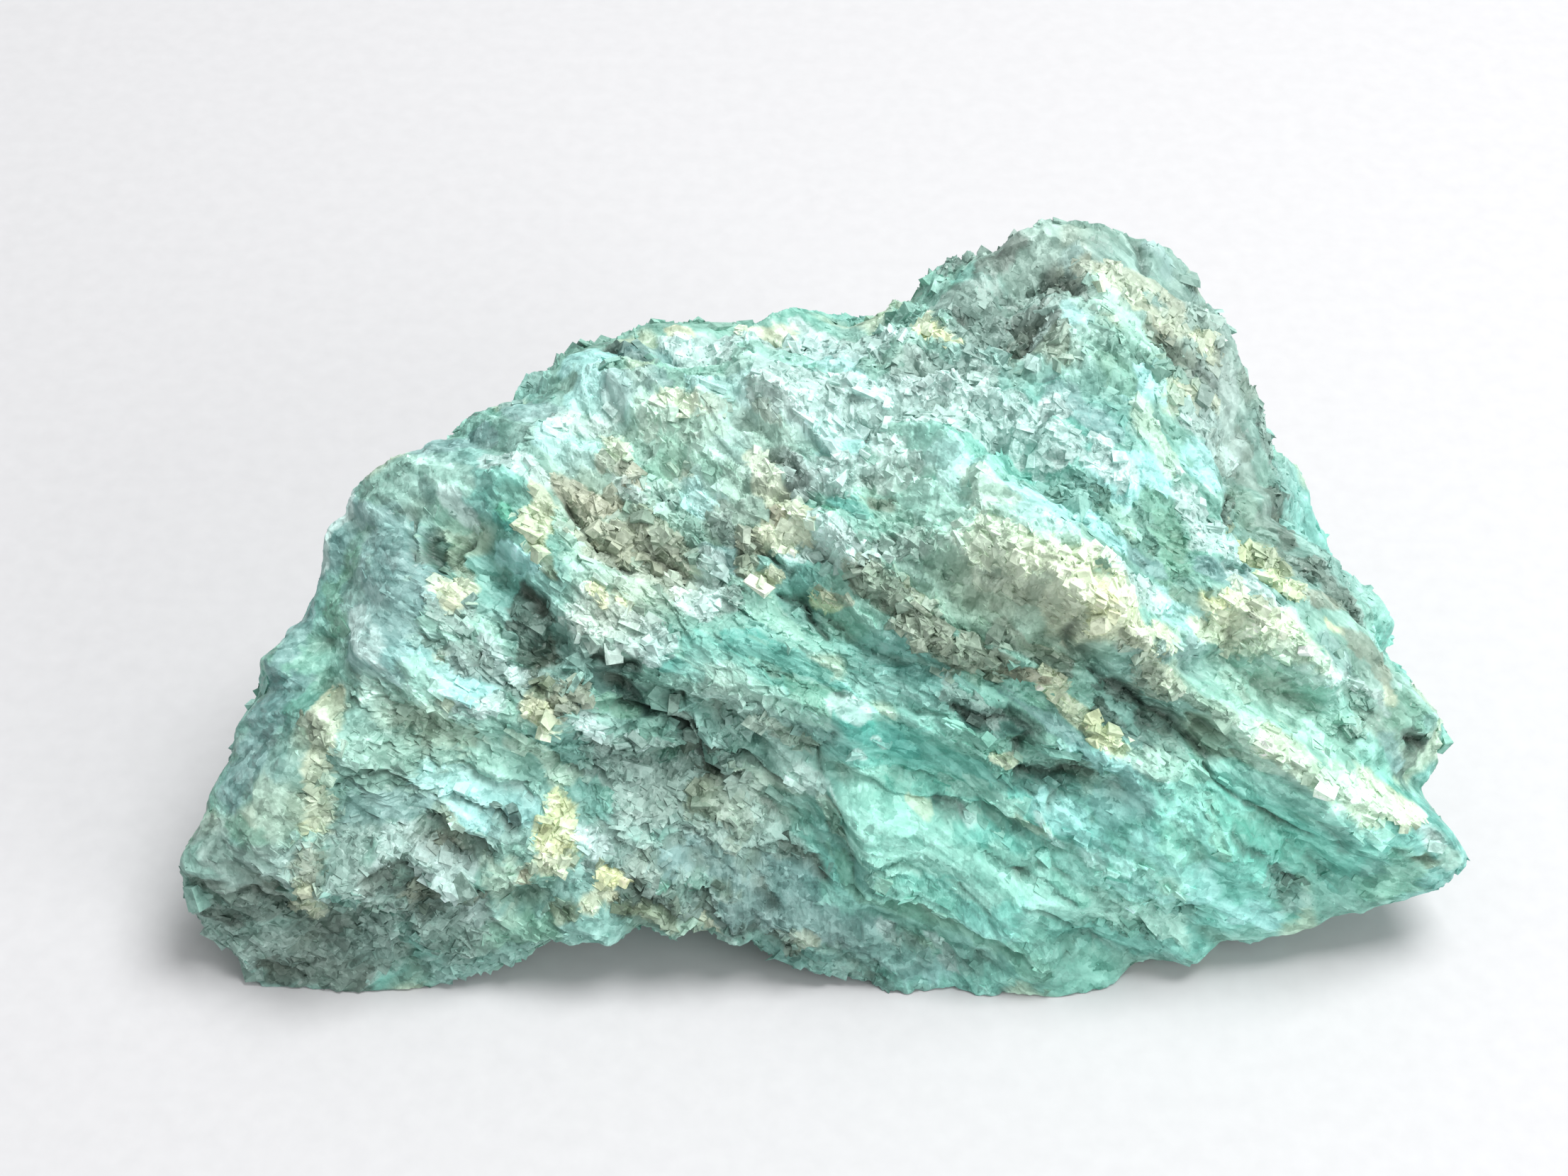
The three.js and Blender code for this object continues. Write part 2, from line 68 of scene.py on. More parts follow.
CLEAVAGE_NORMAL = np.array([0.53, 0.60, 0.60]) / np.linalg.norm([0.53, 0.60, 0.60])
CLEAVAGE_ALONG = np.array([0.848, -0.375, -0.375]) / np.linalg.norm([0.848, -0.375, -0.375])
CLEAVAGE_ACROSS = np.cross(CLEAVAGE_NORMAL, CLEAVAGE_ALONG)
CLEAVAGE = np.stack([CLEAVAGE_ALONG, CLEAVAGE_ACROSS, CLEAVAGE_NORMAL], axis=1)
UPHILL = np.array([0.0, 0.707, 0.707])          # tells the upper side of a mark from the lower

WOBBLE_SIZE = 4.0                               # size of the bends in the cleavage
WOBBLE_OF_SLABS = 0.7                           # how far they move the slabs
WOBBLE_OF_MARKS = 0.3                           # and the named marks
SLAB_SIZE = np.array([7.5, 3.6, 2.2])           # broad slabs: along, across and through the cleavage
SLAB_HEIGHT = 0.42
SLAB_TILT = 0.9
STEP_HEIGHT = 0.55
STEP_BREAKS = np.array([7.0, 5.0, 40.0])        # steps are shifted from slab to slab of this size
STEP_SHIFT = 1.3                                # by up to this many steps
STEP_WAVE = 0.5                                 # and bent by up to this many
LUMP_HEIGHT = 0.20
MARK_TURN = 0.9                                 # how soon a mark's reach changes between its sides
TINY = 1e-9                                     # keeps divisions sound
OFF_AXIS = np.array([0.3, 0.5, 0.81])           # a direction that no grid line follows
SAME_PLACE = 1e6                                # grid corners are one if this times them rounds alike

# Corners of the rough-hewn block, in rows that follow its edges.
CORNERS = {
    "front foot": [
        (-19.4, -8.7, 4.5), (-19.0, -9.1, 1.8), (-17.4, -10.2, 0.1), (-15.3, -10.9, -0.7),
        (-12.5, -10.5, -0.7), (-11.0, -9.9, 0.9), (-8.1, -10.1, 1.6), (-5.9, -10.2, 3.0),
        (-2.9, -10.2, 2.4), (-0.3, -10.1, 1.5), (1.7, -10.4, 0.3), (4.2, -10.5, -0.7),
        (8.1, -10.6, -0.7), (12.2, -10.0, 0.4), (15.2, -9.5, 1.2), (18.4, -9.1, 1.9), (21.0, -8.8, 2.4),
        (22.0, -8.0, 3.7),
    ],
    "right end": [
        (21.2, -7.8, 5.0), (20.2, -6.0, 5.0), (21.9, -4.2, 5.2), (21.0, -4.9, 7.6), (19.1, -3.2, 9.0),
        (17.7, -1.1, 10.0), (16.6, 0.3, 10.0), (16.0, 2.2, 11.5), (15.2, 3.8, 13.0), (14.5, 4.9, 14.6),
        (13.2, 5.6, 16.3), (13.0, 6.7, 17.4),
    ],
    "crest": [
        (10.6, 6.5, 18.0), (7.7, 6.5, 18.1), (6.3, 6.7, 17.0), (5.0, 5.9, 16.0), (3.0, 5.6, 15.0),
        (1.0, 5.8, 15.0), (-2.4, 5.7, 14.6), (-4.9, 5.5, 14.4), (-6.7, 5.3, 14.1), (-9.5, 3.3, 13.4),
        (-12.0, 1.3, 12.6), (-13.9, 0.8, 11.5),
    ],
    "left end": [
        (-15.0, -1.0, 9.5), (-15.9, -2.4, 8.0), (-17.3, -4.5, 6.4), (-18.4, -6.4, 5.0),
    ],
    "plateau": [
        (-11.3, -0.7, 12.6), (-8.2, 0.4, 13.6), (-5.3, 2.0, 14.6), (-2.1, 2.0, 15.2), (2.1, 1.1, 15.4),
        (6.5, 0.6, 15.8), (4.9, -1.3, 15.2), (10.1, 3.1, 16.6), (10.9, 0.0, 15.2), (13.3, 0.4, 13.6),
        (9.8, -4.3, 13.8), (14.1, -2.4, 12.0),
    ],
    "shoulder": [
        (-6.8, -1.1, 13.2), (-3.5, -1.6, 13.0), (0.3, -2.4, 13.2), (4.9, -3.9, 13.4), (9.8, -6.0, 11.8),
        (14.4, -5.2, 10.4), (17.7, -4.9, 8.8),
    ],
    "brow": [
        (-12.1, -3.4, 10.8), (-9.0, -3.5, 10.5), (-5.2, -3.9, 11.6), (-2.3, -5.4, 11.2),
        (1.0, -4.2, 11.6), (4.2, -6.0, 11.2), (8.6, -6.6, 10.6), (13.0, -7.6, 8.8), (17.2, -7.0, 7.4),
    ],
    "belly": [
        (-14.6, -5.6, 8.2), (-11.2, -6.6, 8.0), (-8.1, -7.1, 7.2), (-3.5, -6.5, 6.6), (1.0, -6.5, 7.6),
        (4.3, -7.2, 7.4), (8.7, -8.2, 6.8), (14.3, -8.5, 5.8), (18.4, -8.0, 5.2),
    ],
    "shin": [
        (-16.9, -8.8, 5.0), (-13.9, -9.8, 4.6), (-10.4, -9.3, 4.4), (-7.3, -9.2, 4.2),
        (-3.3, -8.9, 4.2), (1.2, -9.1, 3.8), (5.5, -9.6, 3.2), (10.2, -9.6, 3.4), (14.7, -9.2, 3.7),
    ],
    "back": [
        (-18.6, -5.5, 2.0), (-16.8, -0.8, 4.6), (-15.2, 3.4, 1.4), (-12.2, 4.4, 7.0), (-9.6, 6.6, 2.2),
        (-5.8, 6.8, 10.2), (-4.0, 9.2, 4.0), (1.4, 8.2, 11.6), (2.8, 10.8, 4.6), (8.6, 9.6, 13.0),
        (9.4, 12.4, 5.0), (13.2, 8.8, 11.0), (14.8, 9.4, 3.2), (17.4, 4.8, 6.6), (18.8, 3.6, 2.2),
        (20.4, -2.6, 2.6),
    ],
    "sole": [
        (-15.2, -7.4, -0.7), (-4.6, -7.4, 1.4), (4.3, -9.0, -0.8), (8.4, -9.0, -0.8),
        (14.6, -5.4, -0.2), (15.8, 1.2, -0.7), (12.0, 7.2, -0.7), (3.4, 8.6, -0.6), (-5.0, 6.8, -0.7),
        (-12.4, 2.8, -0.6), (-15.2, -2.4, -0.6), (0.0, 0.0, -0.8),
    ],
}

# Marks of the broken surface: height (negative where they sink), reach uphill and reach downhill of
# the line, and the line.
MARKS = {
    "brow groove": (-1.0, 0.45, 1.5, [
        (0.6, -4.1, 11.7), (3.0, -5.8, 11.2), (6.4, -6.4, 10.7), (9.9, -6.9, 10.0), (13.2, -7.5, 8.7),
    ]),
    "brow undercut": (-1.1, 0.5, 0.8, [
        (8.1, -5.7, 11.9), (9.7, -6.1, 11.4), (11.6, -6.8, 9.8), (13.4, -7.4, 8.8),
    ]),
    "brow foot band": (0.35, 0.5, 0.9, [(4.9, -6.2, 10.2), (7.6, -6.8, 9.5), (10.0, -7.4, 8.6)]),
    "brow ledge": (0.9, 2.0, 0.9, [
        (6.1, -3.8, 13.4), (8.1, -4.8, 12.9), (9.6, -5.6, 12.1), (11.2, -6.2, 11.0),
    ]),
    "fold hollow": (-0.9, 0.8, 1.0, [(-7.2, -4.6, 10.2), (-8.8, -5.6, 9.3)]),
    "middle crack": (-0.8, 0.4, 0.8, [(-5.2, -5.8, 10.0), (-2.2, -6.2, 8.9), (-0.8, -6.7, 7.0)]),
    "slab recess": (-0.85, 1.4, 1.6, [(-5.6, -6.7, 7.9), (-2.6, -7.2, 6.1), (0.1, -8.3, 5.0)]),
    "slab recess foot": (-0.4, 1.2, 0.8, [(-3.0, -8.8, 4.4), (0.0, -9.2, 3.7)]),
    "slab left edge": (0.6, 1.0, 1.0, [(1.9, -6.4, 8.4), (2.3, -7.5, 6.3), (2.8, -9.0, 4.2)]),
    "upper slab": (0.6, 1.1, 0.7, [(2.2, -6.1, 9.6), (4.1, -6.6, 8.9), (6.7, -7.2, 8.0)]),
    "slab gap": (-0.55, 0.5, 0.6, [(2.0, -7.1, 6.9), (4.6, -7.7, 6.6), (7.1, -8.5, 5.7)]),
    "lower slab": (0.7, 1.5, 1.2, [(3.2, -7.8, 5.6), (5.4, -8.7, 4.4), (8.2, -9.6, 2.6)]),
    "right slab": (0.45, 1.2, 0.7, [(7.0, -7.8, 7.0), (9.6, -8.6, 5.7), (11.9, -9.2, 3.9)]),
    "slab shadow": (-0.7, 0.5, 0.7, [(6.9, -7.0, 8.5), (8.2, -7.5, 7.9), (10.2, -8.0, 7.3)]),
    "lobe crescent": (-0.8, 0.5, 0.7, [(-12.1, -9.3, 4.6), (-10.3, -9.5, 3.1), (-7.7, -9.5, 3.3)]),
    "lobe crack": (-0.7, 0.4, 0.5, [(-11.2, -8.5, 5.8), (-9.8, -8.8, 4.9)]),
    "lobe top crack": (-0.6, 0.4, 0.6, [(-10.2, -7.4, 6.9), (-8.2, -7.8, 6.0)]),
    "lobe rim": (0.35, 0.8, 0.8, [(-12.3, -9.5, 2.6), (-10.3, -9.7, 1.8), (-7.6, -9.9, 2.6)]),
    "lobe crown": (0.35, 1.6, 1.4, [(-17.1, -8.7, 4.9), (-14.9, -8.4, 5.5), (-13.0, -9.4, 5.0)]),
    "lobe saddle": (-0.3, 0.9, 0.9, [(-14.7, -9.2, 2.9), (-12.8, -9.7, 1.6)]),
    "shoulder notch": (-0.9, 0.8, 1.1, [(-11.6, -0.6, 12.4), (-10.2, -1.4, 12.2), (-9.0, -2.4, 11.7)]),
    "rust hollow": (-0.7, 1.0, 1.4, [(-6.7, -1.3, 13.1), (-4.9, -2.2, 12.6), (-3.3, -3.1, 12.3)]),
    "rust wall": (0.5, 0.8, 0.8, [(-7.8, 0.1, 13.6), (-8.7, -1.0, 12.9), (-7.4, -2.8, 11.9)]),
    "middle rib": (0.5, 0.8, 1.2, [
        (-12.9, -4.5, 9.5), (-10.5, -5.3, 9.0), (-7.6, -6.3, 8.8), (-4.9, -6.7, 7.8),
    ]),
    "middle rib foot": (-0.5, 1.0, 0.8, [(-11.9, -6.5, 8.0), (-9.0, -6.9, 7.3), (-6.4, -7.1, 6.4)]),
    "horn recess": (-0.9, 0.9, 0.7, [(7.5, 4.4, 17.1), (8.3, 4.7, 17.3)]),
    "horn pit": (-0.7, 0.8, 0.8, [(6.5, 3.3, 16.5), (7.6, 2.8, 16.4)]),
    "horn block": (0.5, 1.2, 0.9, [(8.4, 2.9, 16.6), (10.1, 2.2, 16.2), (11.3, 1.6, 15.4)]),
    "horn band": (0.3, 0.9, 0.9, [(9.6, 4.6, 17.3), (11.2, 4.1, 16.4), (13.0, 3.7, 15.1)]),
    "ridge pit": (-0.7, 0.7, 0.9, [(7.7, -1.5, 14.9), (8.3, -1.9, 14.8)]),
    "right face step": (-0.6, 0.9, 0.9, [(14.0, 1.5, 13.1), (14.3, -0.2, 12.2), (14.6, -2.1, 11.6)]),
    "right shelf": (0.55, 1.3, 0.6, [(12.6, -4.1, 11.6), (14.7, -4.6, 10.6), (16.5, -5.2, 9.3)]),
    "right shelf shadow": (-0.6, 0.5, 0.8, [(13.7, -5.4, 10.3), (16.0, -5.8, 8.9)]),
    "right lower band": (0.5, 0.9, 0.7, [(14.6, -7.0, 8.3), (17.0, -7.3, 7.1), (19.4, -7.5, 5.6)]),
    "right notch": (-0.5, 0.7, 0.7, [(19.7, -6.3, 5.3), (20.1, -6.5, 5.1)]),
    "right lower hollow": (-0.5, 0.7, 0.7, [(15.1, -8.4, 5.5), (17.0, -8.8, 3.4)]),
    "top ridge": (0.4, 0.9, 0.9, [(-3.5, 0.8, 14.3), (-1.6, 1.3, 14.9), (0.6, 0.5, 14.8)]),
    "shoulder band": (0.4, 0.9, 0.7, [(4.6, -1.4, 15.0), (7.3, -2.8, 14.5), (9.8, -4.4, 13.6)]),
    "plateau dip": (-0.5, 1.2, 1.2, [(1.7, 0.5, 15.0), (4.3, 0.6, 15.5), (6.4, -0.6, 15.4)]),
    "left rim": (0.2, 0.7, 0.7, [(-14.2, 0.1, 10.7), (-15.2, -2.0, 8.8), (-16.2, -4.5, 7.2)]),
    "tip rib": (0.3, 0.7, 0.7, [(16.1, -7.6, 6.8), (18.5, -8.0, 5.3), (20.3, -8.0, 4.4)]),
    "arch roof": (-0.4, 0.8, 0.8, [(-7.2, -9.6, 2.4), (-3.0, -9.6, 2.2)]),
    "back shelf": (0.5, 0.9, 1.4, [
        (-8.5, 5.8, 9.3), (-4.6, 7.0, 10.3), (1.0, 8.2, 11.4), (6.0, 9.2, 12.2),
    ]),
    "back shelf shadow": (-0.8, 0.8, 1.2, [(-8.0, 6.6, 6.4), (-2.0, 8.8, 7.8), (6.0, 10.4, 8.6)]),
    "back crack": (-0.6, 0.6, 0.6, [(9.5, 8.0, 15.0), (8.6, 9.6, 11.5), (9.4, 11.0, 8.0)]),
    "left scar": (-0.6, 0.9, 0.7, [(-17.0, -1.0, 4.5), (-15.6, 2.0, 5.6), (-12.6, 4.2, 6.4)]),
    "right scar": (-0.6, 0.8, 1.0, [(19.8, -3.4, 6.0), (18.4, 0.6, 6.8), (17.0, 4.6, 6.2)]),
    "right step": (0.5, 1.0, 0.6, [(15.0, 5.4, 11.6), (17.0, 2.6, 8.8), (19.4, -1.4, 6.8)]),
}

# ---------------------------------------------------------------- chance and noise

# A seed is any whole number. Each use of noise or slabs has its own, so that no two follow each other.
CELL_CODE = np.array([127.1, 311.7, 74.7])      # turns a cell's three whole numbers into one code
SEED_CODE = 19.19                               # what a seed adds to that code
SINE_SCALE = 43758.5453                         # so large that near codes leave unrelated fractions
CELL_MARGIN = 0.15                              # a cell's own point stays this far from its walls
CELL_ROOM = 0.7                                 # and lies anywhere in the room that this leaves


def chance(code, seed):
    """Repeatable number from 0 to 1 for each cell code: the fraction left by a large, mixed sine."""
    mixed = np.sin(code + seed * SEED_CODE) * SINE_SCALE
    return mixed - np.floor(mixed)


def signed_chance(code, seed):
    """The same from -1 to 1."""
    return chance(code, seed) * 2.0 - 1.0


def smooth(t):
    """Soft step: 0 below 0, 1 above 1, and 3t^2 - 2t^3 between."""
    t = np.clip(t, 0.0, 1.0)
    return t * t * (3.0 - 2.0 * t)


def noise(points, size, seed):
    """Smooth noise from -1 to 1: chance at the corners of cubes `size` wide, blended by soft steps."""
    scaled = points / size
    home = np.floor(scaled)
    u, v, w = smooth(scaled - home).T
    code = home @ CELL_CODE
    total = np.zeros(len(points))
    for corner in np.ndindex(2, 2, 2):
        i, j, k = corner
        weight = np.abs(1.0 - i - u) * np.abs(1.0 - j - v) * np.abs(1.0 - k - w)
        total += weight * chance(code + corner @ CELL_CODE, seed)
    return total * 2.0 - 1.0


def patchy(points, size, contrast, seed, level=0.5):
    """0 to 1: a soft threshold of noise, for relief and colours that come and go. A low level leaves
    only small spots."""
    return smooth(noise(points, size, seed) * contrast + level)


def slabs(points, size, crispness, seed):
    """Flat, tilted slabs split along the cleavage: height and shade, each -1 to 1 or a little beyond.

    Every cell of a jittered grid in cleavage directions has its own height, tilt and shade. A point
    takes the mean of the 27 cells around it, each weighted by exp(-crispness * distance^2).
    """
    place = (points @ CLEAVAGE) / size
    home = np.floor(place)
    inside = place - home
    code = home @ CELL_CODE
    height = np.zeros(len(points))
    shade = np.zeros(len(points))
    total = np.zeros(len(points))
    for step in np.array(list(np.ndindex(3, 3, 3))) - 1.0:
        cell = code + step @ CELL_CODE
        along, across, through = (
            inside[:, n] - step[n] - CELL_MARGIN - CELL_ROOM * chance(cell, seed + 1 + n) for n in range(3)
        )
        weight = np.exp(-crispness * (along * along + across * across + through * through))
        tilt = signed_chance(cell, seed + 5) * along + signed_chance(cell, seed + 6) * across
        height += weight * (signed_chance(cell, seed + 4) + SLAB_TILT * tilt)
        shade += weight * signed_chance(cell, seed + 7)
        total += weight
    total += 1e-30                              # far below any weight, in case all of them vanish
    return height / total, shade / total


def cleavage_steps(points, bent, rise, riser, seed):
    """Treads and risers, -0.5 to 0.5: the fraction of (distance along the cleavage normal / rise),
    shifted from slab to slab, rising slowly over the tread and falling over the riser."""
    layer = bent @ CLEAVAGE_NORMAL / rise
    layer += STEP_SHIFT * slabs(bent, size=STEP_BREAKS, crispness=8.0, seed=seed)[0]
    layer += STEP_WAVE * noise(points, size=3.0, seed=seed + 9)
    along = layer - np.floor(layer)
    tread = 1.0 - riser
    return np.where(along < tread, along / tread, (1.0 - along) / riser) - 0.5


def offsets_from_line(points, line):
    """Vector from the nearest point of a line of points to each point."""
    line = np.asarray(line, dtype=float)
    if len(line) == 1:
        return points - line[0]
    nearest = None
    for start, end in zip(line[:-1], line[1:]):
        span = end - start
        share = np.clip((points - start) @ span / (span @ span), 0.0, 1.0)
        offset = points - start - share[:, None] * span
        if nearest is None:
            nearest = offset
        else:
            closer = np.sum(offset * offset, axis=1) < np.sum(nearest * nearest, axis=1)
            nearest = np.where(closer[:, None], offset, nearest)
    return nearest


def mark_height(points, height, above, below, line):
    """A groove, rib or ledge: height * exp(-(distance / reach)^2), with reach `above` uphill of the
    line and `below` downhill of it."""
    offset = offsets_from_line(points, line)
    distance = np.linalg.norm(offset, axis=1)
    side = smooth(offset @ UPHILL / (distance + TINY) * MARK_TURN + 0.5)
    reach = below + (above - below) * side
    return height * np.exp(-((distance / reach) ** 2))


# ---------------------------------------------------------------- rough-hewn block


def planes_through(first, second, third):
    """Unit normal and distance from the origin of the planes through rows of three points."""
    normal = np.cross(second - first, third - first)
    length = np.linalg.norm(normal, axis=1)
    sound = length > TINY
    normal[sound] /= length[sound][:, None]
    distance = np.sum(normal * first, axis=1)
    turn = np.where(distance < 0.0, -1.0, 1.0)
    return normal * turn[:, None], distance * turn, sound


def hew_facets(corners):
    """Facets over the corners: (pick, normal, distance) rows.

    Seen from the heart, with the half sizes scaled to one, the corners lie on a sphere; three of them
    span a facet when no other corner lies outside their plane. `pick` is that plane's normal over its
    distance, so that the facet met by a direction is the one with the largest dot product.
    """
    seen = (corners - HEART) / HALF_SIZE
    seen /= np.linalg.norm(seen, axis=1)[:, None]
    count = len(seen)
    picks, normals, distances = [], [], []
    for a in range(count - 2):
        b, c = np.triu_indices(count - a - 1, k=1)
        b, c = b + a + 1, c + a + 1
        first = np.repeat(seen[a][None], len(b), axis=0)
        cover, cover_distance, sound = planes_through(first, seen[b], seen[c])
        outermost = (cover @ seen.T).max(axis=1)
        kept = sound & (outermost <= cover_distance + TINY)
        if not kept.any():
            continue
        b, c = b[kept], c[kept]
        real = corners - HEART
        first = np.repeat(real[a][None], len(b), axis=0)
        normal, distance, _ = planes_through(first, real[b], real[c])
        picks.append(cover[kept] / cover_distance[kept][:, None])
        normals.append(normal)
        distances.append(distance)
    return np.concatenate(picks), np.concatenate(normals), np.concatenate(distances)


def reach_of_block(directions, facets):
    """Distance from the heart to the block, in half sizes, along directions of the unit sphere."""
    picks, normals, distances = facets
    chosen = (directions @ picks.T).argmax(axis=1)
    return distances[chosen] / np.sum(normals[chosen] * directions * HALF_SIZE, axis=1)


def soft_reach(directions, facets):
    """The same distance, averaged over a small ring of directions so that edges are rounded."""
    side = np.cross(directions, OFF_AXIS)
    side /= np.linalg.norm(side, axis=1)[:, None]
    other = np.cross(directions, side)
    total = 2.0 * reach_of_block(directions, facets)
    for angle in np.arange(EDGE_SAMPLES) * (2.0 * math.pi / EDGE_SAMPLES):
        near = directions + EDGE_SOFTENING * (math.cos(angle) * side + math.sin(angle) * other)
        near /= np.linalg.norm(near, axis=1)[:, None]
        total += reach_of_block(near, facets)
    return total / (EDGE_SAMPLES + 2)


def direction_grid():
    """Cube faces wrapped on the unit sphere: directions at tan-spaced grid corners, quads, and the
    number of the cube face of each quad, in the order of SIDES."""
    lines = [np.tan(np.linspace(-1.0, 1.0, count + 1) * math.pi / 4.0) for count in CELLS]
    places, quads, start = [], [], 0
    for axis in range(3):
        following, last = (axis + 1) % 3, (axis + 2) % 3
        u, v = np.meshgrid(lines[following], lines[last], indexing="ij")
        rows, columns = u.shape
        i, j = np.meshgrid(np.arange(rows - 1), np.arange(columns - 1), indexing="ij")
        corner = (i * columns + j).ravel()
        quad = np.stack([corner, corner + columns, corner + columns + 1, corner + 1], axis=1)
        for side in (1.0, -1.0):
            place = np.empty((rows * columns, 3))
            place[:, axis] = side
            place[:, following] = u.ravel()
            place[:, last] = v.ravel()
            places.append(place)
            quads.append((quad if side > 0.0 else quad[:, ::-1]) + start)
            start += len(place)
    places = np.concatenate(places)
    keys = np.round(places * SAME_PLACE).astype(np.int64)
    _, first, shared = np.unique(keys, axis=0, return_index=True, return_inverse=True)
    directions = places[first] / np.linalg.norm(places[first], axis=1)[:, None]
    directions[:, 2] += CROWDING_UP
    directions /= np.linalg.norm(directions, axis=1)[:, None]
    side_of_quad = np.repeat(np.arange(len(quads)), [len(quad) for quad in quads])
    return directions, shared.ravel()[np.concatenate(quads)], side_of_quad


def outward(points):
    """Unit direction away from the heart, square to the ellipsoid of the half sizes."""
    normal = (points - HEART) / HALF_SIZE**2
    return normal / np.linalg.norm(normal, axis=1)[:, None]


# ---------------------------------------------------------------- minerals, cracks and ledges

# Colours of the minerals, red, green and blue from 0 to 255 as seen in soft daylight.
PALETTE = {
    "teal": (118, 190, 176),
    "deep_teal": (80, 164, 152),
    "dark_teal": (46, 90, 82),
    "light_cyan": (160, 218, 214),
    "mint": (164, 212, 196),
    "pale_green": (178, 211, 191),
    "green": (108, 160, 138),
    "emerald": (84, 162, 134),
    "grey_rock": (130, 156, 148),
    "dark_rock": (68, 86, 76),
    "blue_grey": (115, 156, 154),
    "olive": (98, 114, 86),
    "cream": (212, 222, 190),
    "yellow": (220, 228, 178),
    "rust": (144, 138, 112),
    "brown_rock": (130, 140, 120),
    "frost": (188, 216, 211),
}
HOLLOW_SHADE = (54, 88, 78)                             # painted shade in the hollows
STAIN = (110, 112, 86)                          # brown stain in wide hollows
CRACK_SHADE = (44, 60, 50)                             # painted shade in the cracks

# How strongly each mineral is broken into grains, from 0 (smooth slab) to 1 (loose crust).
GRANULARITY = {
    "teal": 0.30, "deep_teal": 0.15, "dark_teal": 0.40, "light_cyan": 0.45, "mint": 0.50,
    "pale_green": 0.70, "green": 0.50, "emerald": 0.40, "grey_rock": 0.90, "dark_rock": 0.80,
    "blue_grey": 0.30, "olive": 0.80, "cream": 0.90, "yellow": 1.00, "rust": 0.90, "brown_rock": 1.00,
    "frost": 0.85,
}
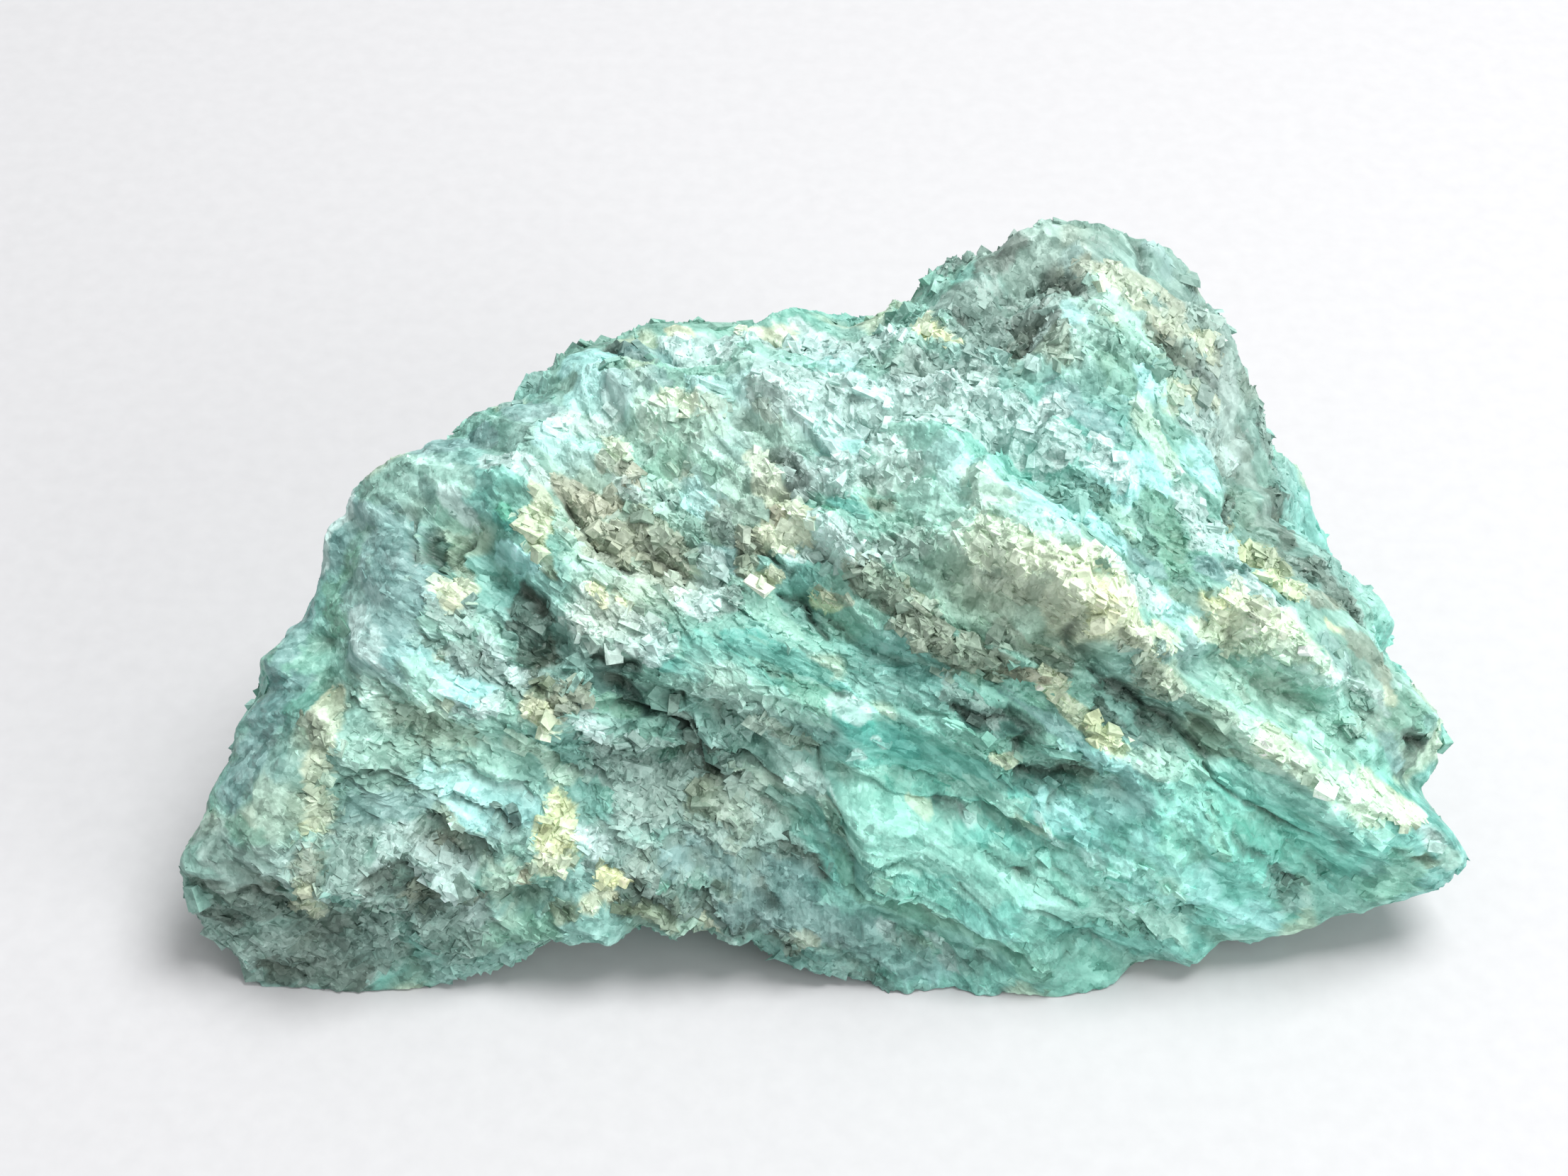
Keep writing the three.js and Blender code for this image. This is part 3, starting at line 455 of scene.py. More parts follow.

# Where each mineral shows: the reach in mm and the line of every patch. Lines here and below run from
# pixel to pixel of the camera's image, across and down, and were chosen one by one.
PATCHES = {
    "teal": [
        (0.70, [(1240, 1190), (1320, 1230), (1400, 1275)]),
        (0.60, [(1560, 1150), (1640, 1200), (1720, 1260)]),
        (0.60, [(1740, 1110), (1820, 1165), (1900, 1220)]),
        (0.50, [(1490, 1150), (1560, 1210)]),
        (0.60, [(1400, 1180), (1500, 1230), (1590, 1270)]),
        (0.50, [(1620, 1130), (1680, 1160), (1740, 1210)]),
        (0.50, [(1780, 1150), (1830, 1190), (1880, 1230)]),
        (0.45, [(1500, 1320), (1600, 1340), (1700, 1310)]),
        (0.50, [(1180, 1130), (1260, 1140)]),
        (0.60, [(1200, 1020), (1300, 1060), (1370, 1090)]),
        (0.45, [(970, 920), (1040, 940), (1110, 970)]),
        (0.50, [(540, 1370), (600, 1345), (640, 1330)]),
        (0.30, [(1250, 1382), (1350, 1392), (1450, 1380)]),
        (0.45, [(1750, 1095), (1800, 1120), (1850, 1140)]),
        (0.50, [(1300, 700), (1350, 740), (1330, 780)]),
        (0.40, [(1350, 380), (1400, 400)]),
        (0.40, [(1470, 540), (1440, 520)]),
        (0.40, [(1850, 980), (1870, 1000)]),
        (0.40, [(1940, 1055), (1960, 1085)]),
        (0.45, [(660, 680), (720, 660)]),
        (0.40, [(1700, 1250), (1760, 1270), (1820, 1285)]),
    ],
    "deep_teal": [
        (0.45, [(1060, 915), (1150, 955)]),
        (0.40, [(1210, 1040), (1290, 1070)]),
        (0.30, [(695, 735), (708, 745)]),
        (0.30, [(1180, 700), (1205, 712)]),
        (0.35, [(1500, 1185), (1530, 1200)]),
        (0.25, [(1430, 1130), (1450, 1150)]),
        (0.30, [(1330, 1190), (1350, 1210)]),
        (0.35, [(1730, 1110), (1790, 1150), (1850, 1175)]),
        (0.30, [(930, 940), (980, 960)]),
    ],
    "dark_teal": [
        (0.35, [(615, 760), (625, 790)]),
        (0.35, [(835, 928), (885, 948)]),
        (0.40, [(870, 965), (905, 990)]),
        (0.35, [(1450, 1100), (1500, 1108)]),
        (0.20, [(1330, 1130), (1355, 1146)]),
        (0.25, [(2000, 1055), (2015, 1052)]),
        (0.20, [(1980, 1090), (1988, 1100)]),
        (0.30, [(1380, 1025), (1440, 1040)]),
        (0.40, [(1560, 1150), (1605, 1175)]),
        (0.20, [(560, 720), (575, 750)]),
        (0.30, [(1870, 1160), (1900, 1200)]),
        (0.25, [(600, 1345), (640, 1310)]),
        (0.30, [(1100, 1290), (1080, 1275)]),
        (0.25, [(740, 840), (755, 850)]),
        (0.25, [(1215, 605), (1225, 628)]),
    ],
    "light_cyan": [
        (0.40, [(1480, 1150), (1520, 1165)]),
        (0.40, [(1590, 1255), (1640, 1275)]),
        (0.35, [(1220, 1170), (1250, 1190)]),
        (0.50, [(800, 500), (850, 492)]),
        (0.60, [(820, 560), (850, 572)]),
        (0.55, [(780, 612), (830, 622)]),
        (0.65, [(1010, 530), (1050, 542), (1090, 562)]),
        (0.60, [(1150, 592), (1200, 622)]),
        (0.45, [(985, 680), (975, 700)]),
        (0.50, [(1150, 482), (1190, 502)]),
        (0.45, [(1205, 530), (1240, 545)]),
        (0.70, [(560, 925), (600, 940), (640, 950)]),
        (0.45, [(630, 1080), (700, 1105), (750, 1125)]),
        (0.35, [(660, 1160), (690, 1172)]),
        (0.55, [(1640, 1205), (1700, 1235), (1712, 1262)]),
        (0.45, [(1540, 1212), (1575, 1232)]),
        (0.45, [(1740, 1285), (1790, 1295)]),
        (0.35, [(1520, 1068), (1585, 1092)]),
        (0.50, [(1320, 645), (1400, 682), (1450, 702)]),
        (0.55, [(1460, 730), (1520, 722), (1560, 742)]),
        (0.60, [(1590, 662), (1640, 672)]),
        (0.60, [(1700, 640), (1735, 665), (1725, 620)]),
        (0.35, [(1640, 362), (1650, 372)]),
        (0.30, [(1500, 352), (1520, 372)]),
        (0.25, [(1500, 430), (1515, 440)]),
        (0.35, [(1600, 535), (1640, 540)]),
        (0.45, [(1650, 850), (1690, 870)]),
        (0.35, [(710, 780), (740, 790)]),
        (0.40, [(1250, 1350), (1310, 1370)]),
    ],
    "mint": [
        (0.40, [(700, 1000), (740, 1020)]),
        (0.45, [(1100, 1010), (1140, 1020)]),
        (0.60, [(1240, 1110), (1300, 1160)]),
        (0.60, [(1420, 1210), (1500, 1260)]),
        (0.50, [(1880, 1120), (1930, 1150)]),
        (0.85, [(1225, 1195), (1320, 1212), (1385, 1242)]),
        (0.40, [(1345, 1112), (1400, 1130)]),
        (0.70, [(830, 795), (880, 830), (850, 860)]),
        (0.40, [(800, 720), (830, 760), (870, 800)]),
        (0.60, [(620, 880), (670, 892)]),
        (0.35, [(1035, 962), (1085, 985)]),
        (0.60, [(1600, 1290), (1650, 1312)]),
        (0.50, [(1530, 1260), (1580, 1290)]),
        (0.55, [(1745, 985), (1795, 1030)]),
        (0.35, [(1830, 1012), (1880, 1042)]),
        (0.50, [(1535, 412), (1600, 452), (1620, 480)]),
        (0.35, [(1460, 340), (1480, 350)]),
        (0.35, [(1590, 722), (1600, 740)]),
        (0.35, [(2035, 1200), (2045, 1215)]),
        (0.50, [(1060, 830), (1110, 870)]),
        (0.60, [(580, 960), (560, 1000)]),
        (0.40, [(985, 640), (1000, 660)]),
        (0.45, [(600, 660), (640, 670)]),
    ],
    "pale_green": [
        (0.90, [(570, 1000), (640, 1040)]),
        (0.50, [(920, 590), (990, 560)]),
        (0.45, [(1620, 585), (1640, 620), (1650, 650)]),
        (0.50, [(370, 1120), (380, 1160)]),
        (0.45, [(1620, 1065), (1680, 1085)]),
        (0.40, [(740, 1060), (800, 1090)]),
        (0.45, [(700, 1230), (710, 1270)]),
        (0.40, [(1370, 668), (1400, 690)]),
        (0.45, [(1570, 880), (1610, 900)]),
        (0.50, [(1760, 1050), (1780, 1075)]),
        (0.40, [(940, 1310), (980, 1315)]),
    ],
    "green": [
        (0.40, [(1752, 690), (1760, 730)]),
        (0.45, [(1985, 985), (2000, 1015)]),
        (0.35, [(1130, 960), (1160, 975)]),
        (0.70, [(1330, 800), (1380, 865), (1320, 870)]),
        (0.42, [(1220, 1266), (1300, 1287), (1400, 1332), (1460, 1372)]),
        (0.50, [(1650, 720), (1660, 762), (1650, 792)]),
        (0.35, [(620, 722), (640, 742)]),
        (0.45, [(955, 605), (990, 582)]),
        (0.40, [(1080, 620), (1100, 640)]),
        (0.35, [(490, 785), (465, 830), (470, 880)]),
        (0.40, [(1765, 705), (1790, 735)]),
        (0.45, [(1960, 1200), (1985, 1230)]),
        (0.25, [(1182, 1205), (1192, 1245)]),
        (0.35, [(1930, 1262), (1980, 1252)]),
        (0.35, [(700, 1330), (760, 1320)]),
        (0.30, [(1595, 520), (1560, 500)]),
        (0.35, [(1030, 670), (1035, 690)]),
        (0.40, [(1980, 1000), (2005, 1030)]),
        (0.40, [(330, 1165), (350, 1190)]),
        (0.35, [(1170, 1340), (1200, 1330)]),
        (0.40, [(1660, 1180), (1685, 1195)]),
        (0.35, [(880, 1010), (860, 990)]),
    ],
    "emerald": [
        (0.30, [(940, 640), (932, 660)]),
        (0.25, [(985, 645), (992, 655)]),
        (0.22, [(1155, 708), (1168, 715)]),
        (0.25, [(945, 1245), (972, 1252)]),
        (0.20, [(1500, 1250), (1530, 1280)]),
        (0.22, [(700, 722), (704, 730)]),
    ],
    "grey_rock": [
        (0.45, [(1835, 785), (1875, 810), (1910, 850)]),
        (0.40, [(1755, 650), (1800, 690), (1812, 750)]),
        (0.50, [(1170, 1320), (1060, 1300), (980, 1290)]),
        (1.00, [(330, 1330), (420, 1350), (520, 1340)]),
        (0.90, [(900, 1200), (1010, 1215), (1100, 1210)]),
        (0.50, [(660, 920), (740, 965), (810, 990)]),
        (0.60, [(1350, 350), (1400, 330)]),
        (0.60, [(590, 800), (640, 850)]),
        (0.45, [(1880, 800), (1920, 860)]),
        (0.80, [(330, 1220), (420, 1230)]),
        (0.40, [(1800, 640), (1790, 600)]),
        (0.80, [(1300, 520), (1370, 530)]),
        (1.00, [(880, 1080), (950, 1120), (1020, 1105)]),
        (0.60, [(900, 1150), (1000, 1165)]),
        (0.80, [(480, 1225), (560, 1275), (640, 1320)]),
        (0.70, [(300, 1180), (330, 1240)]),
        (0.80, [(1350, 425), (1400, 440), (1380, 480)]),
        (0.50, [(1840, 790), (1870, 805)]),
        (0.40, [(1810, 1245), (1830, 1270)]),
        (0.60, [(930, 800), (1000, 830)]),
        (0.50, [(1080, 545), (1110, 535)]),
        (0.45, [(1360, 980), (1400, 1000)]),
        (0.35, [(1010, 735), (1025, 760)]),
        (0.60, [(450, 1320), (520, 1310)]),
        (0.50, [(1200, 760), (1280, 770)]),
        (0.50, [(1060, 1130), (1080, 1150)]),
        (0.40, [(1580, 920), (1640, 900)]),
    ],
    "dark_rock": [
        (0.28, [(1840, 790), (1870, 800), (1905, 845)]),
        (0.22, [(1798, 685), (1815, 730), (1818, 765)]),
        (0.30, [(1995, 1040), (2005, 1060), (1980, 1090)]),
        (0.70, [(290, 1260), (360, 1290), (440, 1300)]),
        (0.45, [(400, 1375), (500, 1380)]),
        (0.30, [(1560, 1000), (1600, 1030)]),
        (0.40, [(880, 1290), (900, 1260)]),
        (0.35, [(1000, 1290), (1060, 1310)]),
        (0.25, [(1850, 786), (1900, 832), (1925, 870)]),
        (0.30, [(1475, 392), (1510, 396)]),
        (0.15, [(1480, 415), (1475, 425)]),
        (0.38, [(1425, 442), (1462, 440), (1442, 482)]),
        (0.25, [(1375, 375), (1430, 340)]),
        (0.25, [(860, 482), (912, 492)]),
        (0.45, [(740, 860), (765, 880), (750, 930)]),
        (0.28, [(1095, 640), (1115, 650), (1120, 680)]),
        (0.18, [(1112, 688), (1125, 695)]),
        (0.25, [(1562, 966), (1600, 990)]),
        (0.38, [(1625, 1018), (1665, 1035)]),
        (0.35, [(1110, 1200), (1150, 1232)]),
        (0.50, [(335, 1290), (375, 1300)]),
        (0.35, [(545, 1248), (590, 1250)]),
        (0.30, [(590, 1280), (620, 1290)]),
        (0.22, [(1740, 690), (1738, 742)]),
        (0.22, [(1800, 680), (1815, 720), (1818, 760)]),
        (0.22, [(1780, 855), (1792, 860)]),
        (0.12, [(1812, 937), (1818, 940)]),
        (0.40, [(1250, 850), (1310, 890)]),
        (0.30, [(960, 1025), (985, 1055), (1010, 1088)]),
        (0.30, [(905, 1275), (935, 1285)]),
        (0.40, [(1430, 905), (1500, 930)]),
        (0.30, [(300, 1300), (330, 1310)]),
        (0.30, [(380, 1375), (420, 1385)]),
        (0.25, [(1820, 1245), (1830, 1255)]),
        (0.20, [(1755, 605), (1770, 640)]),
        (0.20, [(620, 1180), (655, 1215)]),
        (0.25, [(1360, 442), (1368, 450)]),
    ],
    "blue_grey": [
        (0.90, [(540, 745), (540, 830), (515, 900)]),
        (0.50, [(490, 720), (460, 790)]),
        (0.50, [(410, 900), (360, 1010), (320, 1100)]),
        (0.60, [(550, 750), (550, 820), (530, 870)]),
        (0.40, [(600, 800), (590, 840)]),
        (0.40, [(470, 720), (430, 830), (400, 920)]),
        (0.45, [(400, 960), (370, 1040), (320, 1120)]),
        (0.50, [(720, 570), (780, 582)]),
        (0.45, [(600, 622), (680, 610)]),
        (0.35, [(900, 492), (945, 490)]),
        (0.40, [(870, 540), (930, 520)]),
        (0.45, [(520, 1140), (580, 1132)]),
        (0.60, [(1120, 1300), (1200, 1320), (1300, 1352)]),
        (0.45, [(950, 1210), (1010, 1230)]),
        (0.50, [(1080, 1235), (1140, 1255)]),
        (0.45, [(1050, 1295), (1100, 1310)]),
        (0.40, [(1710, 790), (1760, 812), (1800, 842)]),
        (0.35, [(1880, 902), (1900, 940)]),
        (0.25, [(1960, 1050), (1978, 1072)]),
        (0.28, [(1415, 968), (1470, 1002), (1520, 1040)]),
        (0.55, [(1500, 560), (1560, 592)]),
        (0.35, [(1010, 785), (1020, 800)]),
        (0.35, [(1610, 780), (1640, 795)]),
        (0.45, [(1560, 1120), (1590, 1130)]),
        (0.50, [(1690, 930), (1710, 950)]),
    ],
    "olive": [
        (0.22, [(1385, 816), (1430, 840), (1465, 850), (1488, 885)]),
        (0.25, [(1660, 962), (1700, 1000), (1720, 1012)]),
        (0.20, [(1702, 1056), (1732, 1062)]),
        (0.28, [(1235, 702), (1250, 708)]),
        (0.14, [(1062, 582), (1090, 610)]),
        (0.30, [(1480, 462), (1490, 490)]),
        (0.28, [(1640, 470), (1670, 500), (1715, 535)]),
        (0.22, [(772, 782), (776, 812)]),
        (0.18, [(1712, 1140), (1716, 1205)]),
        (0.40, [(980, 1130), (1020, 1150), (1050, 1172)]),
        (0.40, [(890, 1295), (930, 1305)]),
        (0.25, [(650, 760), (645, 785)]),
        (0.30, [(800, 1290), (780, 1280)]),
        (0.15, [(1008, 1255), (1018, 1258)]),
        (0.22, [(1960, 932), (1965, 945)]),
        (0.25, [(2000, 1215), (2020, 1225)]),
        (0.30, [(770, 970), (760, 985)]),
        (0.20, [(1010, 570), (1022, 565)]),
    ],
    "frost": [
        (0.80, [(1010, 480), (1120, 475), (1230, 480)]),
        (0.90, [(1730, 560), (1720, 620)]),
        (0.80, [(1800, 860), (1850, 930)]),
        (0.60, [(1690, 700), (1720, 760)]),
        (0.30, [(485, 700), (440, 790)]),
        (1.00, [(1150, 545), (1260, 570), (1400, 590), (1480, 600)]),
        (0.45, [(1200, 652), (1280, 662)]),
        (0.40, [(1120, 655), (1190, 668)]),
        (0.60, [(1130, 762), (1200, 782)]),
        (0.45, [(1570, 792), (1612, 822), (1630, 846)]),
        (0.38, [(1352, 742), (1400, 790)]),
        (0.80, [(860, 862), (900, 885)]),
        (0.40, [(800, 592), (850, 592)]),
        (0.40, [(690, 640), (760, 660)]),
        (0.40, [(950, 482), (990, 502)]),
        (0.25, [(622, 700), (660, 728)]),
        (0.45, [(580, 1180), (600, 1212), (650, 1242), (680, 1282)]),
        (0.35, [(1142, 1092), (1112, 1112)]),
        (0.25, [(830, 1030), (850, 1042)]),
        (0.13, [(892, 1045), (896, 1047)]),
        (0.13, [(1210, 1070), (1214, 1074)]),
        (0.11, [(1240, 1052), (1252, 1060)]),
        (0.14, [(1368, 1154), (1374, 1158)]),
        (0.12, [(1458, 1155), (1490, 1195)]),
        (0.15, [(1255, 1312), (1272, 1326)]),
        (0.20, [(1310, 1325), (1332, 1345), (1335, 1366)]),
        (0.13, [(1905, 957), (1945, 985), (1962, 1002)]),
        (0.20, [(1998, 1160), (2030, 1186)]),
        (0.25, [(1770, 920), (1780, 930)]),
        (0.14, [(1462, 455), (1440, 500), (1452, 512)]),
        (0.12, [(862, 722), (900, 746)]),
        (0.32, [(872, 680), (892, 700)]),
        (0.40, [(1560, 640), (1580, 650)]),
        (0.30, [(1190, 990), (1212, 1002)]),
        (0.30, [(680, 900), (700, 915)]),
        (0.35, [(1240, 640), (1250, 620)]),
        (0.40, [(520, 910), (500, 870)]),
        (0.30, [(700, 930), (725, 945)]),
        (0.30, [(1560, 1235), (1540, 1220)]),
        (0.35, [(1000, 800), (980, 850)]),
        (0.30, [(1740, 600), (1750, 560)]),
        (0.30, [(830, 1170), (850, 1200)]),
        (0.25, [(640, 1000), (700, 985)]),
    ],
    "cream": [
        (0.35, [(1700, 860), (1740, 900)]),
        (0.30, [(1640, 880), (1660, 900)]),
        (0.40, [(1560, 370), (1640, 400), (1660, 430)]),
        (0.30, [(1700, 880), (1750, 920)]),
        (0.75, [(1410, 760), (1460, 785), (1520, 820), (1580, 850)]),
        (0.60, [(1490, 855), (1560, 885), (1610, 880)]),
        (0.30, [(1480, 965), (1520, 1000), (1560, 1035)]),
        (0.30, [(1620, 950), (1650, 968)]),
        (0.70, [(1760, 870), (1800, 895), (1835, 920)]),
        (0.30, [(1820, 920), (1835, 930)]),
        (0.48, [(1812, 1050), (1860, 1085), (1920, 1112), (1990, 1142)]),
        (0.35, [(1530, 365), (1570, 390), (1620, 430), (1680, 470), (1720, 500)]),
        (0.35, [(945, 560), (958, 566)]),
        (0.40, [(870, 618), (872, 630)]),
        (0.40, [(1062, 462), (1112, 466)]),
        (0.28, [(950, 456), (962, 460)]),
        (0.40, [(1290, 450), (1330, 462)]),
        (0.40, [(1080, 700), (1090, 730), (1060, 742)]),
        (0.30, [(770, 695), (762, 740), (756, 762)]),
        (0.32, [(635, 838), (662, 822)]),
        (0.30, [(475, 975), (452, 1040), (445, 1085), (452, 1130), (432, 1172)]),
        (0.30, [(742, 1010), (772, 1030)]),
        (0.35, [(790, 1215), (772, 1240)]),
        (0.30, [(850, 1265), (840, 1285)]),
        (0.22, [(990, 1300), (1000, 1308)]),
        (0.22, [(1130, 1330), (1148, 1332)]),
        (0.14, [(1290, 1120), (1312, 1137)]),
        (0.14, [(1262, 818), (1288, 842)]),
        (0.30, [(1670, 545), (1720, 565)]),
        (0.25, [(1960, 965), (1970, 985)]),
        (0.25, [(1430, 1085), (1400, 1075)]),
        (0.25, [(430, 1255), (440, 1290)]),
        (0.25, [(1060, 640), (1080, 650)]),
        (0.22, [(1090, 800), (1080, 825)]),
        (0.30, [(1120, 740), (1100, 765)]),
    ],
    "yellow": [
        (0.45, [(1755, 768), (1785, 785), (1805, 815)]),
        (0.24, [(1692, 846), (1722, 856)]),
        (0.24, [(1540, 820), (1562, 842)]),
        (0.24, [(1530, 872), (1540, 892)]),
        (0.32, [(805, 1140), (792, 1180), (800, 1200)]),
        (0.24, [(765, 1165), (770, 1185)]),
        (0.18, [(424, 1168), (428, 1176)]),
        (0.18, [(878, 838), (890, 848)]),
        (0.18, [(1885, 880), (1895, 884)]),
        (0.24, [(1560, 1030), (1585, 1050)]),
        (0.24, [(1310, 452), (1328, 462)]),
        (0.14, [(838, 750), (842, 754)]),
        (0.24, [(1150, 850), (1170, 858)]),
        (0.24, [(1700, 470), (1712, 490)]),
        (0.22, [(840, 830), (845, 842)]),
        (0.22, [(868, 1238), (860, 1250)]),
    ],
    "rust": [
        (0.40, [(800, 685), (840, 700), (870, 705)]),
        (0.28, [(870, 660), (890, 668)]),
        (0.18, [(742, 1245), (748, 1250)]),
        (0.14, [(1088, 720), (1094, 724)]),
        (0.14, [(1885, 842), (1892, 848)]),
        (0.12, [(618, 1178), (640, 1200)]),
        (0.14, [(1150, 838), (1190, 850)]),
        (0.20, [(1420, 952), (1470, 965)]),
    ],
    "brown_rock": [
        (0.40, [(1915, 895), (1950, 930), (1960, 950)]),
        (0.28, [(1930, 900), (1965, 935)]),
        (0.25, [(1860, 840), (1900, 850)]),
        (0.60, [(850, 745), (900, 745), (930, 785)]),
        (0.40, [(870, 770), (920, 790)]),
        (0.55, [(1215, 815), (1255, 850), (1305, 885), (1345, 930), (1400, 945)]),
        (0.30, [(1060, 762), (1050, 792)]),
        (0.35, [(1085, 1030), (1130, 1050)]),
        (0.30, [(1160, 1140), (1170, 1170)]),
        (0.28, [(440, 1205), (425, 1240)]),
        (0.25, [(600, 1262), (680, 1275)]),
        (0.25, [(650, 790), (665, 810)]),
        (0.30, [(430, 1020), (440, 1030)]),
        (0.30, [(850, 640), (880, 650)]),
        (0.30, [(1100, 1330), (1110, 1345)]),
        (0.30, [(1640, 985), (1600, 950)]),
        (0.30, [(1740, 955), (1760, 975)]),
        (0.30, [(820, 980), (800, 1000)]),
    ],
}

